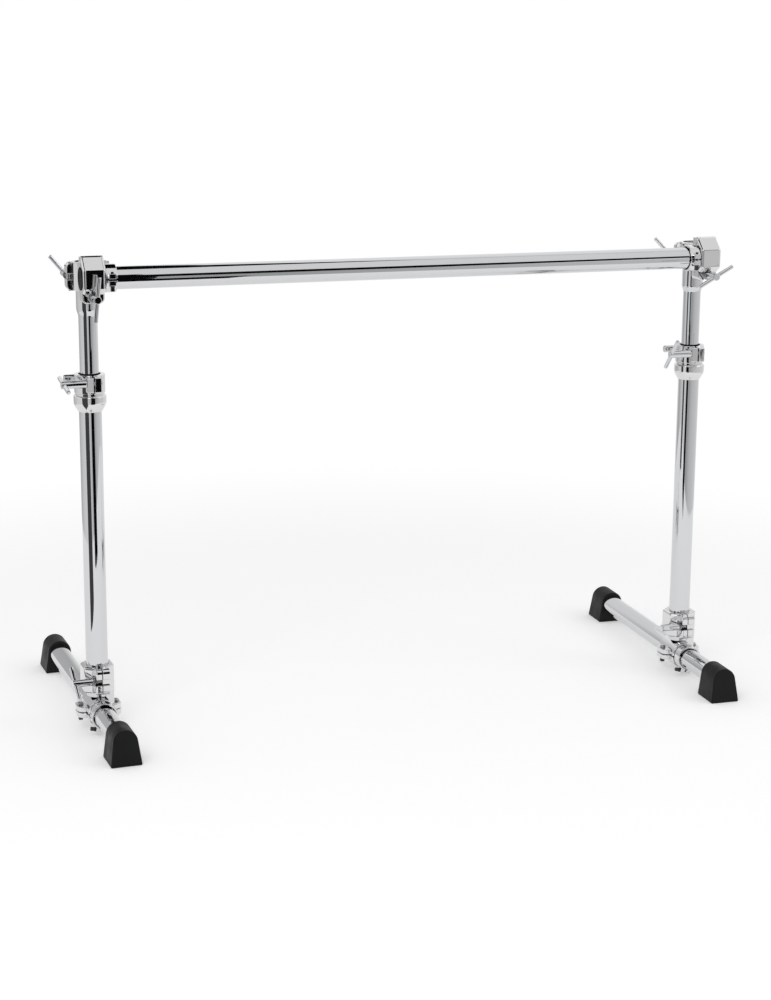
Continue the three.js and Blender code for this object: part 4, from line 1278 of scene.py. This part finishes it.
class RACK_OT_stage(RackOperator, bpy.types.Operator):
    """Set up the pale floor, the soft light, the flags and the camera"""

    bl_idname = "rack.stage"
    bl_label = "Stage"

    def seen(self, tree):
        """1 for rays that show the surroundings: from the camera, in gloss and through glass."""
        rays = add(tree, "ShaderNodeLightPath").outputs
        total = rays["Is Camera Ray"]
        for name in ("Is Glossy Ray", "Is Transmission Ray"):
            settings = {"operation": "ADD", "use_clamp": True}
            total = add(tree, "ShaderNodeMath", settings, {0: total, 1: rays[name]})
        return total

    def world(self):
        """White surroundings, less bright on matt surfaces than where they are seen."""
        world = bpy.data.worlds.new("Pale surroundings")
        world.use_nodes = True
        tree = world.node_tree
        tree.nodes.clear()
        strength = spread(tree, self.seen(tree), 0.0, 1.0, sizes("studio").world, 1.0)
        sky = add(tree, "ShaderNodeBackground", links={"Strength": strength}, Color=(1, 1, 1, 1))
        add(tree, "ShaderNodeOutputWorld", links={"Surface": sky})
        bpy.context.scene.world = world

    def floor(self):
        """A wide disc of matt paint, which the camera and gloss see turn to plain white away
        from the object. Matt surfaces get the paint's own light alone."""
        disc = turned([(FLOOR_RADIUS, -0.02), (FLOOR_RADIUS, 0.0)], 96)
        floor = shown("floor", mesh_of([disc], "floor"))
        material, tree = new_material("Pale floor paint")
        place = add(tree, "ShaderNodeTexCoord").outputs["Object"]
        reach = add(tree, "ShaderNodeVectorMath", {"operation": "LENGTH"}, {"Vector": place})
        fade = spread(tree, reach.outputs["Value"], FADE_START, FADE_END, 0.0, 1.0)
        fade.interpolation_type = "SMOOTHSTEP"
        seen = self.seen(tree)
        matt = add(tree, "ShaderNodeBsdfDiffuse", Color=linear(sizes("finish").floor))
        glow = spread(tree, seen, 0.0, 1.0, 0.0, FLOOR_GLOW_SHARE)
        lift = add(tree, "ShaderNodeEmission", links={"Strength": glow})
        near = add(tree, "ShaderNodeAddShader", links={0: matt, 1: lift})
        white = add(tree, "ShaderNodeEmission", Strength=1.0)
        far = add(tree, "ShaderNodeMath", {"operation": "MULTIPLY"}, {0: fade, 1: seen})
        both = add(tree, "ShaderNodeMixShader", links={0: far, 1: near, 2: white})
        floor.data.materials.append(finish(material, both))

    def card(self, name, points, faces, material):
        """A sheet that only reflections see."""
        mesh = bpy.data.meshes.new(name)
        mesh.from_pydata([list(point) for point in points], [], faces)
        mesh.materials.append(material)
        card = shown(name, mesh)
        for rays in ("camera", "diffuse", "transmission", "shadow"):
            setattr(card, f"visible_{rays}", False)

    def paper(self, name, strength):
        """Lit paper of an even tone."""
        material, tree = new_material(name)
        return finish(material, add(tree, "ShaderNodeEmission", Strength=strength))

    def wall_paper(self):
        """Lit paper whose tone follows WALL_SHARES round the stage, by the angle of its place
        about z, from behind over the left, the front and the right."""
        material, tree = new_material("Lit studio paper")
        place = add(tree, "ShaderNodeTexCoord").outputs["Object"]
        parts = add(tree, "ShaderNodeSeparateXYZ", links={"Vector": place}).outputs
        front = add(tree, "ShaderNodeMath", {"operation": "MULTIPLY"}, {0: parts["Y"]})
        front.inputs[1].default_value = -1.0
        angle = add(tree, "ShaderNodeMath", {"operation": "ARCTAN2"}, {0: parts["X"], 1: front})
        share = spread(tree, angle, -math.pi, math.pi, 0.0, 1.0)
        ramp = add(tree, "ShaderNodeValToRGB", links={"Fac": share})
        stops = ramp.color_ramp.elements
        for place, tone in WALL_SHARES[1:-1]:
            stops.new(place).color = (tone, tone, tone, 1)
        stops[0].color = stops[-1].color = (WALL_SHARES[0][1],) * 3 + (1,)
        return finish(material, add(tree, "ShaderNodeEmission", links={"Color": ramp}))

    def cards(self):
        """The papers and flags that the chrome mirrors: a low wall all round, a dark band over
        its front, and the flat cards."""
        papers = {name: self.paper(name.capitalize(), tone) for name, tone in PAPER_SHARES.items()}
        ring = rings_at(1, 0, circle(96)) * (WALL_WIDTH, WALL_DEPTH, 1)
        points = np.concatenate([ring, ring + (0, 0, WALL_HEIGHT)])
        self.card("wall", points, ring_faces(2, len(ring)), self.wall_paper())
        size = (WALL_WIDTH - BAND_INSET, WALL_DEPTH - BAND_INSET, 1)
        arch = rings_at(1, 0, np.radians(np.linspace(-112, -28, 29))) * size
        edges = [np.interp(arch[:, 0], *edge)[:, None] * (0, 0, 1) for edge in (BAND_LOW, BAND_HIGH)]
        points = np.concatenate([arch + edge for edge in edges])
        self.card("dark_band", points, ring_faces(2, len(arch))[:-1], papers["black flag cloth"])
        for name, (paper, *corners) in CARDS.items():
            self.card(name, corners, [range(len(corners))], papers[paper])

    def lamp(self, name, place, size, power):
        """A soft oblong light aimed at the middle of the rack."""
        light = bpy.data.lights.new(name, "AREA")
        light.shape = "RECTANGLE"
        light.size, light.size_y = size
        light.energy = power
        lamp = shown(name, light)
        lamp.location = place
        aim = Vector(RACK_MIDDLE) - Vector(place)
        lamp.rotation_euler = aim.to_track_quat("-Z", "Y").to_euler()

    def camera(self):
        """The camera, upright as the values of the studio say."""
        s = sizes("studio")
        data = bpy.data.cameras.new("camera")
        data.sensor_width = data.sensor_height = 36.0
        data.sensor_fit = "VERTICAL"
        data.lens = s.lens
        camera = shown("camera", data)
        forward, across = Vector(s.forward), Vector(s.across)
        turn = Matrix((across, across.cross(forward), -forward)).transposed().to_4x4()
        camera.matrix_world = Matrix.Translation(s.camera) @ turn
        bpy.context.scene.camera = camera

    def execute(self, context):
        self.camera()
        self.world()
        self.floor()
        for name, (place, size) in LAMPS.items():
            self.lamp(f"{name}_light", place, size, getattr(sizes("studio"), name))
        self.cards()
        context.scene.view_settings.view_transform = "Standard"
        return {"FINISHED"}


OPERATORS = (
    RACK_OT_stage,
    RACK_OT_tubes,
    RACK_OT_caps,
    RACK_OT_clamps,
    RACK_OT_jaws,
    RACK_OT_nuts,
    RACK_OT_heights,
    RACK_OT_bases,
    RACK_OT_locks,
    RACK_OT_feet,
)


class RACK_PT_panel(bpy.types.Panel):
    """The rack's operators and values"""

    bl_idname = "RACK_PT_panel"
    bl_label = "Drum rack frame"
    bl_space_type = "VIEW_3D"
    bl_region_type = "UI"
    bl_category = "Drum Rack"

    def draw(self, context):
        for operator in OPERATORS:
            self.layout.operator(operator.bl_idname)
        for group in GROUPS:
            values = getattr(context.scene, group)
            column = self.layout.column(heading=values.bl_rna.description)
            for field in values.__annotations__:
                column.prop(values, field)


def register():
    for cls in (*GROUPS.values(), *OPERATORS, RACK_PT_panel):
        bpy.utils.register_class(cls)
    for name, group in GROUPS.items():
        setattr(bpy.types.Scene, name, PointerProperty(type=group))


def unregister():
    for name in GROUPS:
        delattr(bpy.types.Scene, name)
    for cls in (RACK_PT_panel, *reversed(OPERATORS), *GROUPS.values()):
        bpy.utils.unregister_class(cls)


def main():
    register()
    for operator in OPERATORS:
        group, name = operator.bl_idname.split(".")
        getattr(getattr(bpy.ops, group), name)()


if __name__ == "__main__":
    main()
